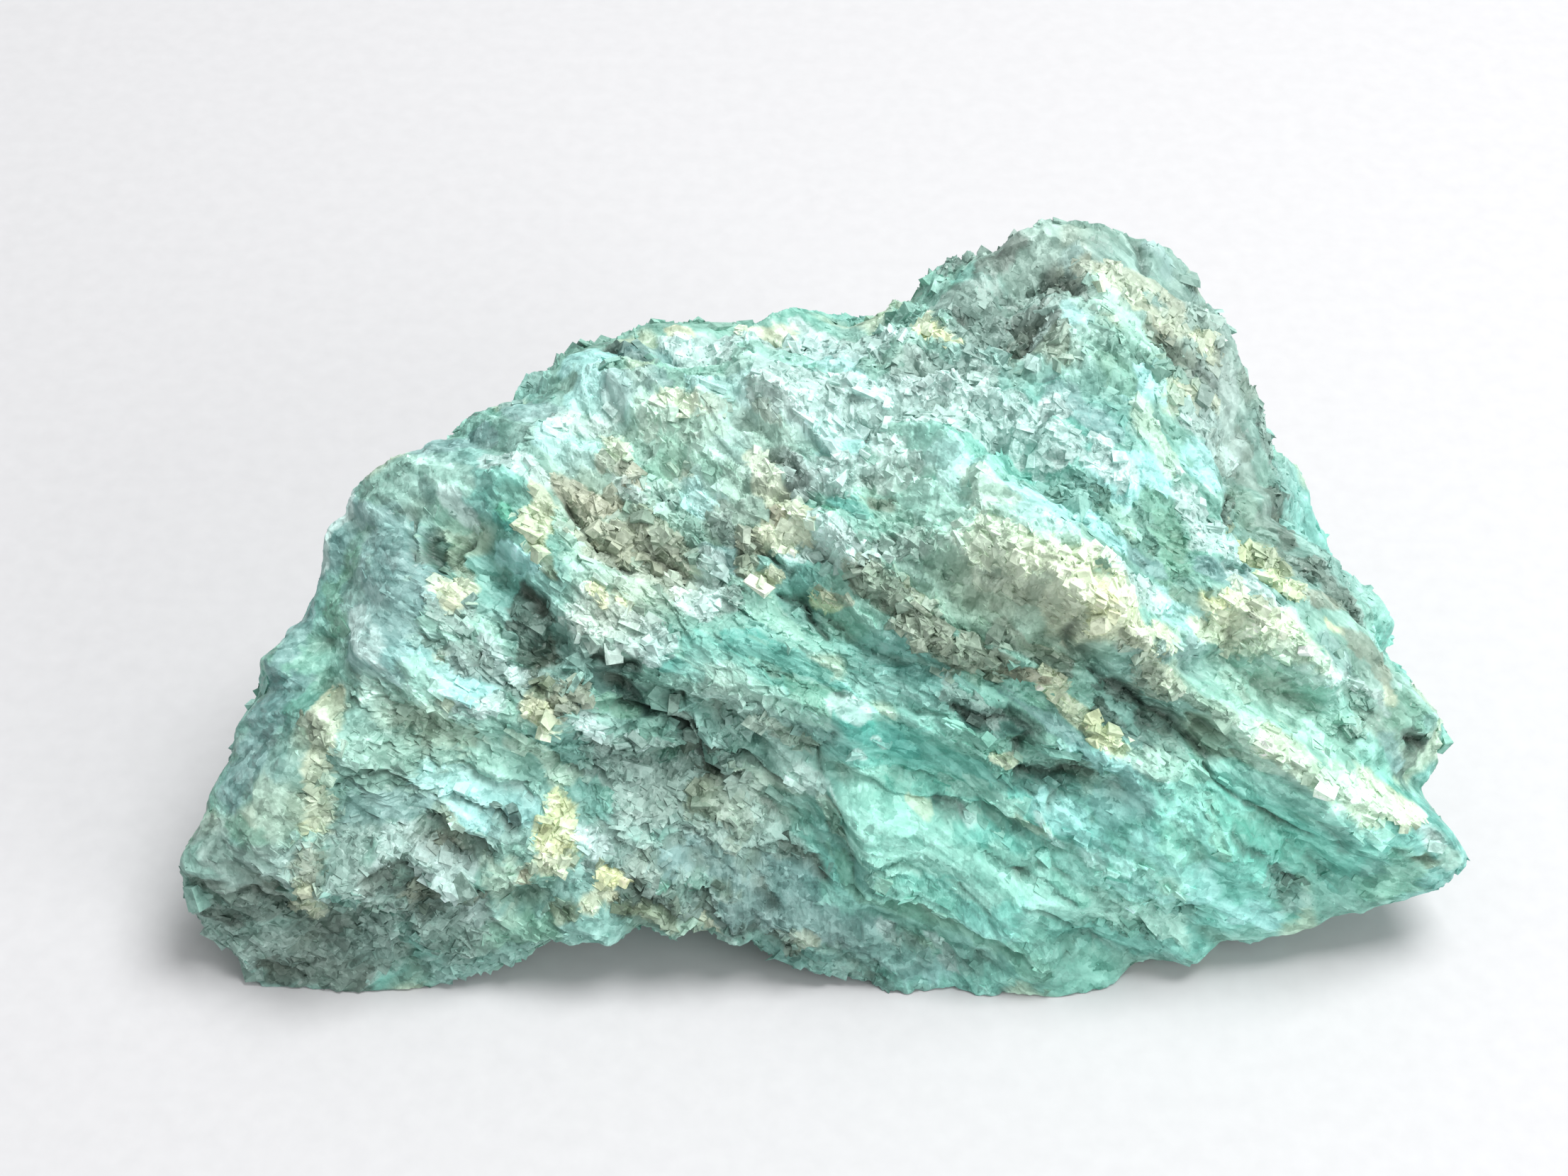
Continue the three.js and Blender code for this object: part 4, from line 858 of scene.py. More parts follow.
# Narrow cracks, pits and grooves: depth and reach in mm, then the line in the camera's image.
CRACKS = {
    "under the brow": (0.45, 0.18, [
        (1500, 900), (1545, 945), (1600, 985), (1650, 1010), (1690, 1045), (1706, 1066),
    ]),
    "pocket under the brow": (0.25, 0.35, [(1615, 1010), (1660, 1032)]),
    "start of the brow": (0.35, 0.20, [(1515, 918), (1550, 945)]),
    "short brow crack": (0.30, 0.12, [(1566, 905), (1580, 915), (1605, 920)]),
    "brown seam": (0.30, 0.11, [
        (1342, 895), (1380, 912), (1402, 932), (1425, 950), (1452, 957), (1470, 970),
    ]),
    "olive hollow": (0.15, 0.20, [(1395, 824), (1430, 840), (1465, 852), (1488, 885)]),
    "teal pocket": (0.42, 0.26, [
        (1346, 996), (1368, 1012), (1405, 1022), (1432, 1012), (1455, 1040), (1440, 1062),
    ]),
    "lower teal pocket": (0.38, 0.22, [(1442, 1096), (1480, 1100), (1530, 1094)]),
    "pocket tail": (0.28, 0.15, [(1490, 1105), (1472, 1136)]),
    "small pocket": (0.40, 0.16, [(1325, 1130), (1345, 1145), (1362, 1148)]),
    "long streak": (0.25, 0.09, [(1395, 1210), (1440, 1240), (1480, 1255), (1522, 1288)]),
    "short streak": (0.20, 0.07, [(1350, 1255), (1370, 1276), (1392, 1298)]),
    "low streak": (0.25, 0.09, [(1450, 1290), (1500, 1305), (1550, 1330), (1600, 1350)]),
    "right pocket": (0.40, 0.18, [(1706, 1074), (1722, 1102)]),
    "right crack": (0.30, 0.10, [(1722, 1102), (1760, 1140), (1800, 1165), (1850, 1186)]),
    "far right pocket": (0.40, 0.18, [(1745, 1185), (1785, 1212), (1812, 1240), (1832, 1252)]),
    "dark right streak": (0.25, 0.14, [(1850, 1152), (1880, 1180), (1902, 1206)]),
    "short upright crack": (0.10, 0.12, [(1608, 1140), (1616, 1168), (1612, 1196)]),
    "green upright crack": (0.08, 0.12, [(1705, 1130), (1712, 1165), (1719, 1212)]),
    "slab border": (0.22, 0.10, [(1150, 1112), (1176, 1142), (1182, 1172), (1196, 1202), (1198, 1246)]),
    "slab left end": (0.20, 0.12, [(1170, 1042), (1150, 1060), (1150, 1086)]),
    "dark wedge": (0.45, 0.17, [(1102, 1196), (1130, 1220), (1156, 1242)]),
    "main crack": (0.70, 0.20, [
        (880, 998), (915, 1003), (950, 1018), (968, 1030), (985, 1055), (1005, 1080), (1026, 1096),
    ]),
    "branch of the main crack": (0.35, 0.10, [
        (958, 985), (985, 1015), (1012, 1042), (1040, 1070), (1075, 1094), (1102, 1114),
    ]),
    "upper hollow": (0.40, 0.26, [(828, 926), (885, 945)]),
    "middle hollow": (0.40, 0.26, [(862, 956), (905, 990)]),
    "pit by the fold": (0.40, 0.12, [(670, 914), (678, 934), (692, 950)]),
    "fold pit": (0.45, 0.22, [(735, 838), (756, 846), (750, 862)]),
    "fold nick": (0.25, 0.08, [(770, 912), (773, 932)]),
    "dash": (0.20, 0.09, [(710, 1046), (742, 1048)]),
    "nick": (0.20, 0.06, [(918, 1045), (921, 1061)]),
    "slab shadow": (0.45, 0.15, [(642, 1116), (670, 1130), (700, 1143), (732, 1153)]),
    "lobe top crack": (0.35, 0.13, [(508, 1075), (530, 1090), (550, 1084), (578, 1096), (606, 1106)]),
    "brown seam of the lobe": (0.35, 0.12, [(608, 1172), (635, 1190), (650, 1212), (666, 1220)]),
    "lobe left hollow": (0.40, 0.22, [(352, 1256), (364, 1266), (396, 1272), (402, 1290)]),
    "lobe arch": (0.40, 0.20, [(524, 1242), (555, 1232), (592, 1247)]),
    "lobe nick": (0.30, 0.16, [(598, 1266), (612, 1288)]),
    "lobe edge hollow": (0.35, 0.28, [(282, 1262), (300, 1290), (336, 1304)]),
    "lobe foot line": (0.22, 0.12, [(480, 1348), (510, 1346), (545, 1340)]),
    "lobe foot hollow": (0.30, 0.25, [(370, 1368), (420, 1380)]),
    "lobe border": (0.30, 0.14, [(668, 1262), (686, 1296), (700, 1318)]),
    "cream pit": (0.15, 0.14, [(425, 1022), (442, 1032)]),
    "thin left line": (0.22, 0.08, [(470, 1105), (500, 1103), (530, 1110), (556, 1119)]),
    "left upright line": (0.22, 0.11, [(472, 1130), (475, 1166)]),
    "shoulder groove": (0.25, 0.16, [(552, 712), (572, 720), (577, 748), (586, 776)]),
    "green hollow": (0.50, 0.30, [(606, 748), (613, 775), (624, 794)]),
    "green hollow foot": (0.25, 0.10, [(624, 796), (640, 798), (652, 782), (660, 765)]),
    "rust border": (0.40, 0.14, [(796, 694), (813, 722), (833, 752), (853, 778), (886, 796)]),
    "rust pit": (0.30, 0.16, [(900, 733), (916, 750)]),
    "rust foot": (0.30, 0.16, [(905, 778), (930, 792), (946, 802)]),
    "ridge pocket": (0.50, 0.22, [(1092, 640), (1112, 650), (1120, 672), (1112, 686)]),
    "ridge pocket tail": (0.30, 0.14, [(1122, 690), (1150, 700)]),
    "green dimple": (0.25, 0.20, [(1234, 704), (1248, 708)]),
    "brown crack": (0.40, 0.14, [(1062, 766), (1086, 772), (1100, 800), (1112, 814)]),
    "long middle crack": (0.40, 0.12, [(1100, 838), (1130, 850), (1142, 866), (1168, 890)]),
    "teal pit": (0.30, 0.14, [(1216, 606), (1224, 626)]),
    "black speck": (0.25, 0.10, [(1068, 497), (1078, 499)]),
    "far ridge dip": (0.25, 0.16, [(850, 480), (880, 496), (912, 498)]),
    "behind the knob": (0.35, 0.18, [(1608, 340), (1616, 356), (1622, 376)]),
    "horn hole": (0.60, 0.26, [(1470, 393), (1490, 390), (1512, 396)]),
    "horn small hole": (0.40, 0.13, [(1484, 414), (1474, 426)]),
    "horn recess": (0.50, 0.32, [(1430, 446), (1460, 440), (1446, 470), (1440, 494)]),
    "horn left pit": (0.30, 0.18, [(1358, 440), (1370, 450)]),
    "horn block cracks": (0.30, 0.11, [(1502, 480), (1520, 498), (1514, 510)]),
    "olive band": (0.35, 0.20, [(1640, 462), (1662, 492), (1700, 520), (1722, 540)]),
    "olive band line": (0.22, 0.07, [(1700, 536), (1732, 548)]),
    "green spots": (0.28, 0.12, [(1556, 526), (1572, 532)]),
    "green spot": (0.28, 0.11, [(1580, 544), (1586, 548)]),
    "plateau pit": (0.22, 0.22, [(1470, 638), (1490, 645), (1485, 658)]),
    "plateau nick": (0.22, 0.08, [(1520, 646), (1522, 656)]),
    "right face edge": (0.35, 0.14, [(1742, 690), (1735, 720), (1745, 752)]),
    "cream spot": (0.25, 0.18, [(1780, 856), (1792, 860)]),
    "black dot": (0.28, 0.10, [(1812, 938), (1820, 942)]),
    "knob notch": (0.40, 0.18, [(1990, 1048), (2010, 1060)]),
    "tip groove": (0.22, 0.12, [(1950, 1190), (1990, 1215), (2020, 1222)]),
    "blue hollow": (0.35, 0.16, [(1082, 1256), (1096, 1290)]),
    "foot hollow": (0.35, 0.24, [(896, 1262), (925, 1285)]),
    "foot line": (0.25, 0.10, [(930, 1290), (962, 1310)]),
    "green nick": (0.25, 0.12, [(1672, 826), (1684, 836)]),
}

# Rounded swells that bring a face forward: rise and reach in mm, then the line in the camera's image.
SWELLS = {
    "cream ledge": (0.50, 0.80, [(1430, 815), (1500, 865), (1580, 905)]),
    "below the right shelf": (0.35, 0.80, [(1755, 945), (1830, 985), (1900, 1030)]),
    "cyan ridge": (0.35, 0.80, [(1075, 590), (1110, 640)]),
    "band above the pit": (0.40, 0.50, [(1490, 680), (1520, 700)]),
    "right groove": (0.40, 0.70, [(1800, 1100), (1860, 1150), (1900, 1190)]),
    "slab corner": (0.40, 0.50, [(1190, 1130), (1215, 1210)]),
    "left shelf": (0.45, 0.80, [(520, 1010), (600, 1040), (700, 1080)]),
    "right foot": (0.40, 0.90, [(1860, 1110), (1920, 1160), (1960, 1200)]),
    "right slope": (0.40, 0.80, [(1640, 1160), (1740, 1210)]),
    "peak knob": (0.35, 0.45, [(1636, 362)]),
}

# Steps where a slab ends: rise and fade in mm, then the line; the side above it in the image is higher.
LEDGES = {
    "brow": (0.35, 0.80, [(1496, 896), (1545, 938), (1600, 978), (1650, 1004), (1692, 1038)]),
    "mint slab": (0.35, 0.70, [(640, 1112), (670, 1126), (700, 1138), (745, 1148), (790, 1152)]),
    "lobe top": (0.22, 0.50, [(500, 1070), (540, 1080), (575, 1092), (606, 1104)]),
    "front slab": (0.30, 0.90, [(1196, 1244), (1300, 1274), (1400, 1320), (1480, 1366)]),
    "upper slab": (0.22, 0.50, [(1200, 1086), (1260, 1104), (1320, 1122), (1412, 1146)]),
    "cyan slab": (-0.22, 0.50, [(1496, 1050), (1560, 1064), (1604, 1086)]),
    "right slab": (-0.22, 0.60, [(1712, 1068), (1760, 1092), (1850, 1128)]),
    "teal slab": (-0.22, 0.60, [(1190, 1000), (1260, 1012), (1340, 1030), (1384, 1050)]),
    "above the main crack": (0.25, 0.60, [(878, 990), (915, 996), (960, 1018), (990, 1050), (1026, 1086)]),
    "above the branch": (0.18, 0.45, [(985, 1008), (1040, 1062), (1102, 1108)]),
    "lobe rim": (0.20, 0.45, [(300, 1262), (352, 1252), (400, 1266), (450, 1262), (520, 1236)]),
    "rust edge": (-0.25, 0.45, [(796, 694), (833, 752), (886, 796), (940, 806)]),
    "middle slab": (0.22, 0.50, [(960, 1000), (1040, 975), (1120, 1000)]),
    "cream band of the horn": (0.20, 0.40, [(1540, 395), (1610, 445), (1690, 505)]),
    "right band": (0.22, 0.45, [(1800, 1062), (1850, 1098), (1920, 1130), (1990, 1160)]),
    "cyan ridge": (0.20, 0.50, [(1050, 560), (1130, 600), (1190, 650), (1250, 660)]),
    "yellow ledge": (0.20, 0.40, [(1735, 790), (1780, 806), (1815, 830)]),
    "teal sliver": (-0.16, 0.40, [(1405, 950), (1470, 985), (1530, 1042)]),
}

# Smooth places: the reach in mm and the line of each.
SMOOTH_PLACES = {
    "left rim": (1.80, [(590, 665), (500, 745), (440, 860), (390, 960), (340, 1080), (300, 1160)]),
    "left face": (0.80, [(545, 760), (530, 850), (500, 920)]),
    "lower slab": (0.90, [(1220, 1160), (1310, 1200), (1400, 1245), (1490, 1290)]),
    "right slab": (0.70, [(1560, 1150), (1640, 1200), (1740, 1260)]),
    "cyan streak": (0.50, [(1320, 645), (1400, 682), (1450, 702)]),
    "teal slab": (0.50, [(1060, 915), (1150, 955)]),
    "middle slab": (0.60, [(1210, 1030), (1290, 1065), (1360, 1090)]),
    "foot slab": (0.50, [(1250, 1290), (1350, 1330), (1430, 1370)]),
    "horn slab": (0.50, [(1730, 1105), (1820, 1160), (1900, 1215)]),
    "lower edge": (0.90, [(1500, 1400), (1620, 1370), (1740, 1335), (1860, 1300)]),
    "peak": (0.70, [(1500, 335), (1580, 350), (1650, 400)]),
    "left of the peak": (0.60, [(1330, 410), (1380, 370), (1440, 340)]),
    "right tip": (0.90, [(1970, 1050), (2010, 1110), (2045, 1180), (2020, 1240), (1940, 1265)]),
    "right edge": (0.60, [(1740, 560), (1775, 650), (1805, 740)]),
    "lower right edge": (0.60, [(1880, 850), (1930, 920), (1975, 1000)]),
    "top edge": (0.60, [(700, 620), (790, 540), (860, 475), (960, 450), (1080, 450), (1200, 455)]),
}

# Wide washes of colour: how strong, the reach in mm, the colour and the line of each. Most give the
# stone's own colour; the shaded ones and those marked below are painted light and shade.
WASHES = {
    "clean slabs": (0.34, 3.2, (108, 206, 188), [(1260, 1170), (1450, 1230), (1650, 1220), (1850, 1200)]),
    "grey top": (0.34, 2.2, (162, 188, 182), [(1100, 490), (1200, 540), (1320, 560), (1440, 500)]),
    "grey peak": (0.64, 2.2, (140, 156, 148), [(1440, 350), (1540, 340), (1640, 380), (1720, 500)]),
    "grey right side": (0.48, 1.9, (126, 152, 140), [(1740, 640), (1800, 760), (1880, 840), (1950, 950)]),
    "frosty saddle": (0.36, 1.9, (196, 220, 208), [(840, 600), (930, 610), (1040, 650)]),
    "light ridge": (0.32, 1.1, (200, 230, 220), [(1030, 520), (1070, 580), (1100, 620)]),
    "pale crest": (0.25, 1.3, (186, 216, 212), [(560, 700), (640, 655), (720, 620)]),
    "pale band": (0.48, 1.5, (192, 228, 212), [(1280, 690), (1360, 740), (1440, 790)]),
    "pale right": (0.26, 1.9, (186, 216, 202), [(1640, 950), (1760, 1030), (1850, 1100)]),
    "pale seam": (0.50, 1.2, (186, 214, 202), [(1010, 980), (1070, 1040), (1110, 1080), (1060, 1140)]),
    "pale rim of the pit": (0.50, 1.2, (198, 206, 184), [(820, 700), (870, 750), (930, 810), (850, 850)]),
    "pale shelf": (0.30, 1.2, (176, 214, 196), [(560, 1040), (640, 1050), (700, 1060)]),
    "pale groove": (0.58, 1.1, (160, 214, 196), [(1720, 950), (1810, 960), (1880, 1040)]),
    # painted light on the right slab
    "painted light on the right slab": (0.54, 1.2, (124, 208, 188), [(1700, 1130), (1790, 1170), (1870, 1210)]),
    "pale hollow": (0.42, 1.1, (180, 186, 152), [(1380, 810), (1440, 850), (1500, 900)]),
    "shaded foot": (0.68, 1.7, (78, 108, 102), [(1040, 1300), (1120, 1335), (1200, 1350)]),
    "shaded bottom": (0.44, 1.2, (84, 140, 124), [(1280, 1350), (1400, 1370), (1500, 1350)]),
    "shaded lobe": (0.26, 2.4, (92, 116, 106), [(330, 1240), (450, 1290), (620, 1320), (660, 1345)]),
    # painted light on the lower slab, the left foot and the left rim
    "painted light on the lower slab": (0.60, 1.2, (152, 218, 202), [(1500, 1260), (1580, 1240), (1640, 1255)]),
    "painted light on the left foot": (0.32, 0.9, (156, 180, 170), [(370, 1330), (440, 1345)]),
    "painted light on the left rim": (0.38, 1.1, (172, 212, 206), [(515, 850), (510, 930), (530, 980)]),
    "pale middle": (0.32, 1.5, (172, 202, 186), [(1180, 850), (1290, 840), (1400, 820), (1490, 853)]),
    "teal above the crack": (0.34, 0.9, (104, 166, 152), [(1060, 945), (1165, 955)]),
    "greyer slab": (0.30, 1.0, (122, 158, 152), [(1590, 1050), (1620, 1100), (1680, 1140)]),
    "shaded left": (0.20, 1.2, (100, 132, 122), [(430, 1130), (520, 1150), (630, 1240)]),
    "bright ledge": (0.34, 0.8, (226, 230, 198), [(1450, 785), (1520, 828), (1575, 862)]),
    # painted shade on the right rim
    "painted shade on the right rim": (0.34, 0.8, (104, 126, 114), [(1765, 700), (1800, 760), (1830, 790)]),
    "green hollow": (0.28, 0.9, (104, 168, 146), [(600, 735), (640, 775)]),
    "shaded lobe foot": (0.44, 0.8, (88, 124, 112), [(600, 1330), (645, 1345)]),
    "shaded flank": (0.24, 1.6, (104, 140, 130), [(480, 1140), (430, 1060), (400, 1120), (370, 1180)]),
}

# ---------------------------------------------------------------- finding places and colours

PATCH_STRENGTH = 0.85                           # how far a patch covers the ground colour
STRETCH_ALONG = 0.35                            # patches are drawn out along the cleavage
PATCH_FADE = 0.30                               # width of a patch's faded rim, as a share of its reach
LEDGE_WIDTH = 0.14                              # width of the riser of a ledge
DISPLAY_GAMMA = 2.2
DEPTH_OF_FULL_CRACK_SHADE = 0.45                       # cracks at least this deep, in mm, take the full painted shade
SEARCH = 9.0                                    # pixels around a place where its point is looked for


def linear(rgb):
    """Scene-linear colour of a 0 to 255 display colour, by the sRGB curve."""
    share = np.asarray(rgb, dtype=float) / 255.0
    return np.where(share <= 0.04045, share / 12.92, ((share + 0.055) / 1.055) ** 2.4)


def seen_by_camera(points):
    """Pixel of the camera's image, across and down, for each point, and its distance in depth."""
    offset = points - CAMERA_PLACE
    depth = -offset @ TOWARDS_CAMERA
    scale = IMAGE_SIZE[0] * LENS / SENSOR / depth
    across = IMAGE_SIZE[0] / 2.0 + offset[:, 0] * scale
    down = IMAGE_SIZE[1] / 2.0 - offset @ UP_IN_IMAGE * scale
    return np.stack([across, down], axis=1), depth


def line_on_stone(line, view, points):
    """Points of the stone under a line of pixels: for each pixel, the point nearest to the camera of
    those that it sees close by."""
    pixels, depth = view
    found = []
    for pixel in line:
        away = np.hypot(pixels[:, 0] - pixel[0], pixels[:, 1] - pixel[1])
        close = np.flatnonzero(away < max(SEARCH, 1.05 * away.min()))
        found.append(points[close[np.argmin(depth[close])]])
    return np.array(found)


def places_on_stone(places, view, points):
    """Places with each line of pixels, which comes last, turned into its points on the stone."""
    return [(*sizes, line_on_stone(line, view, points)) for *sizes, line in places]


def points_around(points, line, margin):
    """Numbers of the points inside the box around a line, widened by a margin."""
    inside = np.all((points > line.min(axis=0) - margin) & (points < line.max(axis=0) + margin), axis=1)
    return np.flatnonzero(inside)


def fading(offset, reach):
    """exp(-(distance / reach)^2) for the given offsets from a line."""
    return np.exp(-(np.sum(offset * offset, axis=1) / reach**2))


def mineral_share(points, lines, ragged):
    """0 to 1: how much of a mineral shows. Each patch fades out where the distance from its line
    passes its reach times the raggedness of its rim."""
    share = np.zeros(len(points))
    for reach, line in lines:
        near = points_around(points, line, 3.0 * reach)
        offset = offsets_from_line(points[near], line)
        offset = offset - STRETCH_ALONG * (offset @ CLEAVAGE_ALONG)[:, None] * CLEAVAGE_ALONG
        distance = np.linalg.norm(offset, axis=1)
        part = smooth((reach * ragged[near] - distance) / (PATCH_FADE * reach) + 0.5)
        share[near] = np.maximum(share[near], part)
    return share


def crack_depth(points, lines, uneven):
    """Depth of the cracks in mm, depth * exp(-(distance / reach)^2) with an uneven reach, and the painted
    shade in them, 0 to 1."""
    depth_here = np.zeros(len(points))
    crack_shade = np.zeros(len(points))
    for depth, reach, line in lines:
        near = points_around(points, line, 4.0 * reach)
        distance = np.linalg.norm(offsets_from_line(points[near], line), axis=1)
        profile = np.exp(-((distance / (reach * uneven[near])) ** 2))
        depth_here[near] = np.maximum(depth_here[near], depth * profile)
        crack_shade[near] = np.maximum(crack_shade[near], min(depth / DEPTH_OF_FULL_CRACK_SHADE, 1.0) * profile)
    return depth_here, crack_shade


def swell_rise(points, lines):
    """Height of the swells: rise * exp(-(distance / reach)^2)."""
    rise_here = np.zeros(len(points))
    for rise, reach, line in lines:
        near = points_around(points, line, 2.5 * reach)
        rise_here[near] += rise * fading(offsets_from_line(points[near], line), reach)
    return rise_here


def ledge_rise(points, lines):
    """Height of the ledges: the full rise just above each line, none below it, fading with distance."""
    rise_here = np.zeros(len(points))
    for rise, fade, line in lines:
        near = points_around(points, line, 3.0 * fade)
        offset = offsets_from_line(points[near], line)
        above = smooth(offset @ UPHILL / LEDGE_WIDTH + 0.5)
        rise_here[near] += rise * above * fading(offset, fade)
    return rise_here


def blend(colours, other, share):
    """Colours moved towards another colour by a share for each point."""
    return colours + (np.asarray(other) - colours) * np.asarray(share)[:, None]


def lightened(colours, amount):
    """Colours made lighter by an amount, or darker by a negative one, equally in red, green and blue
    as displayed."""
    shown = np.clip(colours, 0.0, 1.0) ** (1.0 / DISPLAY_GAMMA)
    return np.clip(shown + np.asarray(amount)[:, None], 0.05, 0.97) ** DISPLAY_GAMMA


def washed(colours, points, washes):
    """Colours moved towards that of each wash by strength * exp(-(distance / reach)^2)."""
    for strength, reach, rgb, line in washes:
        colours = blend(colours, linear(rgb), strength * fading(offsets_from_line(points, line), reach))
    return colours


def ground_of_stone(points, place):
    """Colour and granularity before the named patches, all round the stone: teal feldspar, with mint
    areas drawn out along the cleavage, blue-grey, grey and green areas, and small cream and brown
    spots where noise is highest."""
    drawn_out = place * np.array([0.45, 1.0, 1.3])
    rocky = patchy(points, size=3.0, contrast=1.6, seed=203)
    layers = [
        ("mint", 0.50 * patchy(drawn_out, size=2.3, contrast=1.8, seed=201)),
        ("blue_grey", 0.40 * patchy(points, size=3.7, contrast=1.6, seed=202)),
        ("grey_rock", 0.50 * rocky),
        ("green", 0.40 * patchy(points, size=2.1, contrast=2.0, seed=204) ** 2),
        ("cream", 0.45 * patchy(points, size=1.5, contrast=3.0, seed=205, level=-1.3)),
        ("brown_rock", 0.45 * patchy(points, size=1.9, contrast=3.0, seed=206, level=-1.5)),
    ]
    colours = np.tile(linear(PALETTE["teal"]), (len(points), 1))
    for mineral, share in layers:
        colours = blend(colours, linear(PALETTE[mineral]), share)
    granularity = 0.38 + 0.40 * rocky + 0.25 * noise(points, size=2.0, seed=207)
    return colours, granularity


# ---------------------------------------------------------------- stone

SPLINTER_SIZE = np.array([3.6, 1.7, 0.9])       # along, across and through the cleavage
SPLINTER_HEIGHT = 0.15
SMALL_STEP_HEIGHT = 0.14
STREAK_STRETCH = np.array([0.22, 1.0, 1.0])     # streaks are drawn out along the cleavage
HAIRLINE_STRETCH = np.array([0.20, 1.0, 1.0])
STREAK_HEIGHT = 0.07
HAIRLINE_HEIGHT = 0.035

# Flakes of three sizes, largest first: size in mm, crispness, height on a smooth slab and the height
# that loose rock adds, and how much their own shades count.
FLAKES = [
    (np.array([1.50, 0.95, 0.62]), 40.0, 0.03, 0.045, 0.30),
    (np.array([0.80, 0.58, 0.45]), 40.0, 0.035, 0.080, 0.50),
    (np.array([0.42, 0.34, 0.30]), 32.0, 0.025, 0.070, 0.45),
]
RAGGED = 0.30                                   # how far noise and flakes break the rims of patches
CALMING = 0.6                                   # share of relief and grain lost in a smooth place
CRACK_SHARE = 0.75                              # cracks are cut to this share of their listed depth
GRAIN_SHAKE = 0.004                             # sideways shake of loose grains, in mm
PALE_CRUST = ("cream", "yellow")

HOLLOW_ROUNDS = (5, 30, 120)                    # rounds of smoothing for near, middle and wide hollows
STAIN_STRENGTH = 0.35                           # brown stain in wide hollows
SHADE_LIGHT = 0.17                              # how much flakes and streaks differ in lightness
EDGE_HIGHLIGHT = 0.12                               # how much lighter raised edges are painted, a painted highlight
HOLLOW_SHADE_STRENGTH = 0.60                            # painted shade in the hollows
CRACK_SHADE_STRENGTH = 0.70                            # painted shade in the cracks


def shared_relief(points):
    """Relief of the CAD stone, and the bent points that its layers follow: broad slabs, cleavage
    steps, lumps and the named marks. Also gives the lean, from -0.8 on faces that look down the
    cleavage to 1 on faces that look up it."""
    bend = np.stack([noise(points, size=WOBBLE_SIZE, seed=seed) for seed in (11, 12, 13)], axis=1)
    bent = points + WOBBLE_OF_SLABS * bend
    lean = np.clip(outward(points) @ CLEAVAGE_NORMAL * 1.5, -0.8, 1.0)
    height = SLAB_HEIGHT * slabs(bent, size=SLAB_SIZE, crispness=9.0, seed=20)[0]
    stepped = patchy(points, size=5.0, contrast=2.2, seed=70)
    height -= STEP_HEIGHT * lean * stepped * cleavage_steps(points, bent, rise=2.8, riser=0.35, seed=50)
    height += LUMP_HEIGHT * noise(points, size=3.1, seed=31)
    shaken = points + WOBBLE_OF_MARKS * bend
    for mark in MARKS.values():
        height += mark_height(shaken, *mark)
    return height, bent, lean


def shaken_points(points, amount, size, seed):
    """Points moved by noise, so that what is worked out from them has broken outlines."""
    return points + amount * np.stack([noise(points, size, seed + n) for n in range(3)], axis=1)


def flakes(points):
    """Angular flakes of three sizes: (heights, shades), largest first."""
    broken = shaken_points(points, amount=0.12, size=0.5, seed=35)
    layers = []
    for number, (size, crispness, *_) in enumerate(FLAKES):
        layers.append(slabs(broken, size, crispness, seed=60 + 20 * number))
    return layers


def fine_relief(points, bent, lean, granularity, layers):
    """Relief below a millimetre and the streaks: splinters and small steps where the stone cleaves,
    streaks on the slabs, and flakes where the rock is granular."""
    cleaved = 1.0 - 0.65 * granularity
    splinters = slabs(bent, size=SPLINTER_SIZE, crispness=20.0, seed=40)[0]
    splintered = 0.4 + 0.6 * patchy(points, size=3.5, contrast=2.2, seed=71)
    height = SPLINTER_HEIGHT * cleaved * splinters * splintered
    stepped = patchy(points, size=3.0, contrast=2.2, seed=72)
    small_steps = cleavage_steps(points, bent, rise=1.0, riser=0.25, seed=55)
    height -= SMALL_STEP_HEIGHT * cleaved * lean * stepped * small_steps
    for (heights, _), (_, _, on_slabs, on_loose_rock, _) in zip(layers, FLAKES):
        height += (on_slabs + on_loose_rock * granularity) * heights
    streaks = noise(bent @ CLEAVAGE * STREAK_STRETCH, size=0.36, seed=34)
    hairlines = noise(bent @ CLEAVAGE * HAIRLINE_STRETCH, size=0.16, seed=38)
    height += (1.0 - granularity) * (STREAK_HEIGHT * streaks + HAIRLINE_HEIGHT * hairlines)
    return height, streaks + 0.8 * hairlines


def edges_of(quads, points):
    """Each edge of the quads once, as pairs of vertex numbers, and its weight, one over its length."""
    pairs = np.concatenate([quads[:, [n, (n + 1) % 4]] for n in range(4)])
    edges = np.unique(np.sort(pairs, axis=1), axis=0)
    length = np.linalg.norm(points[edges[:, 0]] - points[edges[:, 1]], axis=1)
    return edges, 1.0 / (length + 1e-6)


def hollowness(height, edges, weights, rounds):
    """How far the relief lies below its surroundings, once for every number of rounds: the height
    smoothed over that many rounds of weighted means of neighbours, less the height itself."""
    start, end = edges[:, 0], edges[:, 1]
    count = len(height)
    whole = np.bincount(start, weights, count) + np.bincount(end, weights, count)
    smoothed = height
    found = []
    for done in range(1, rounds[-1] + 1):
        around = np.bincount(start, weights * smoothed[end], count)
        around += np.bincount(end, weights * smoothed[start], count)
        smoothed = 0.3 * smoothed + 0.7 * around / whole
        if done in rounds:
            found.append(smoothed - height)
    return found


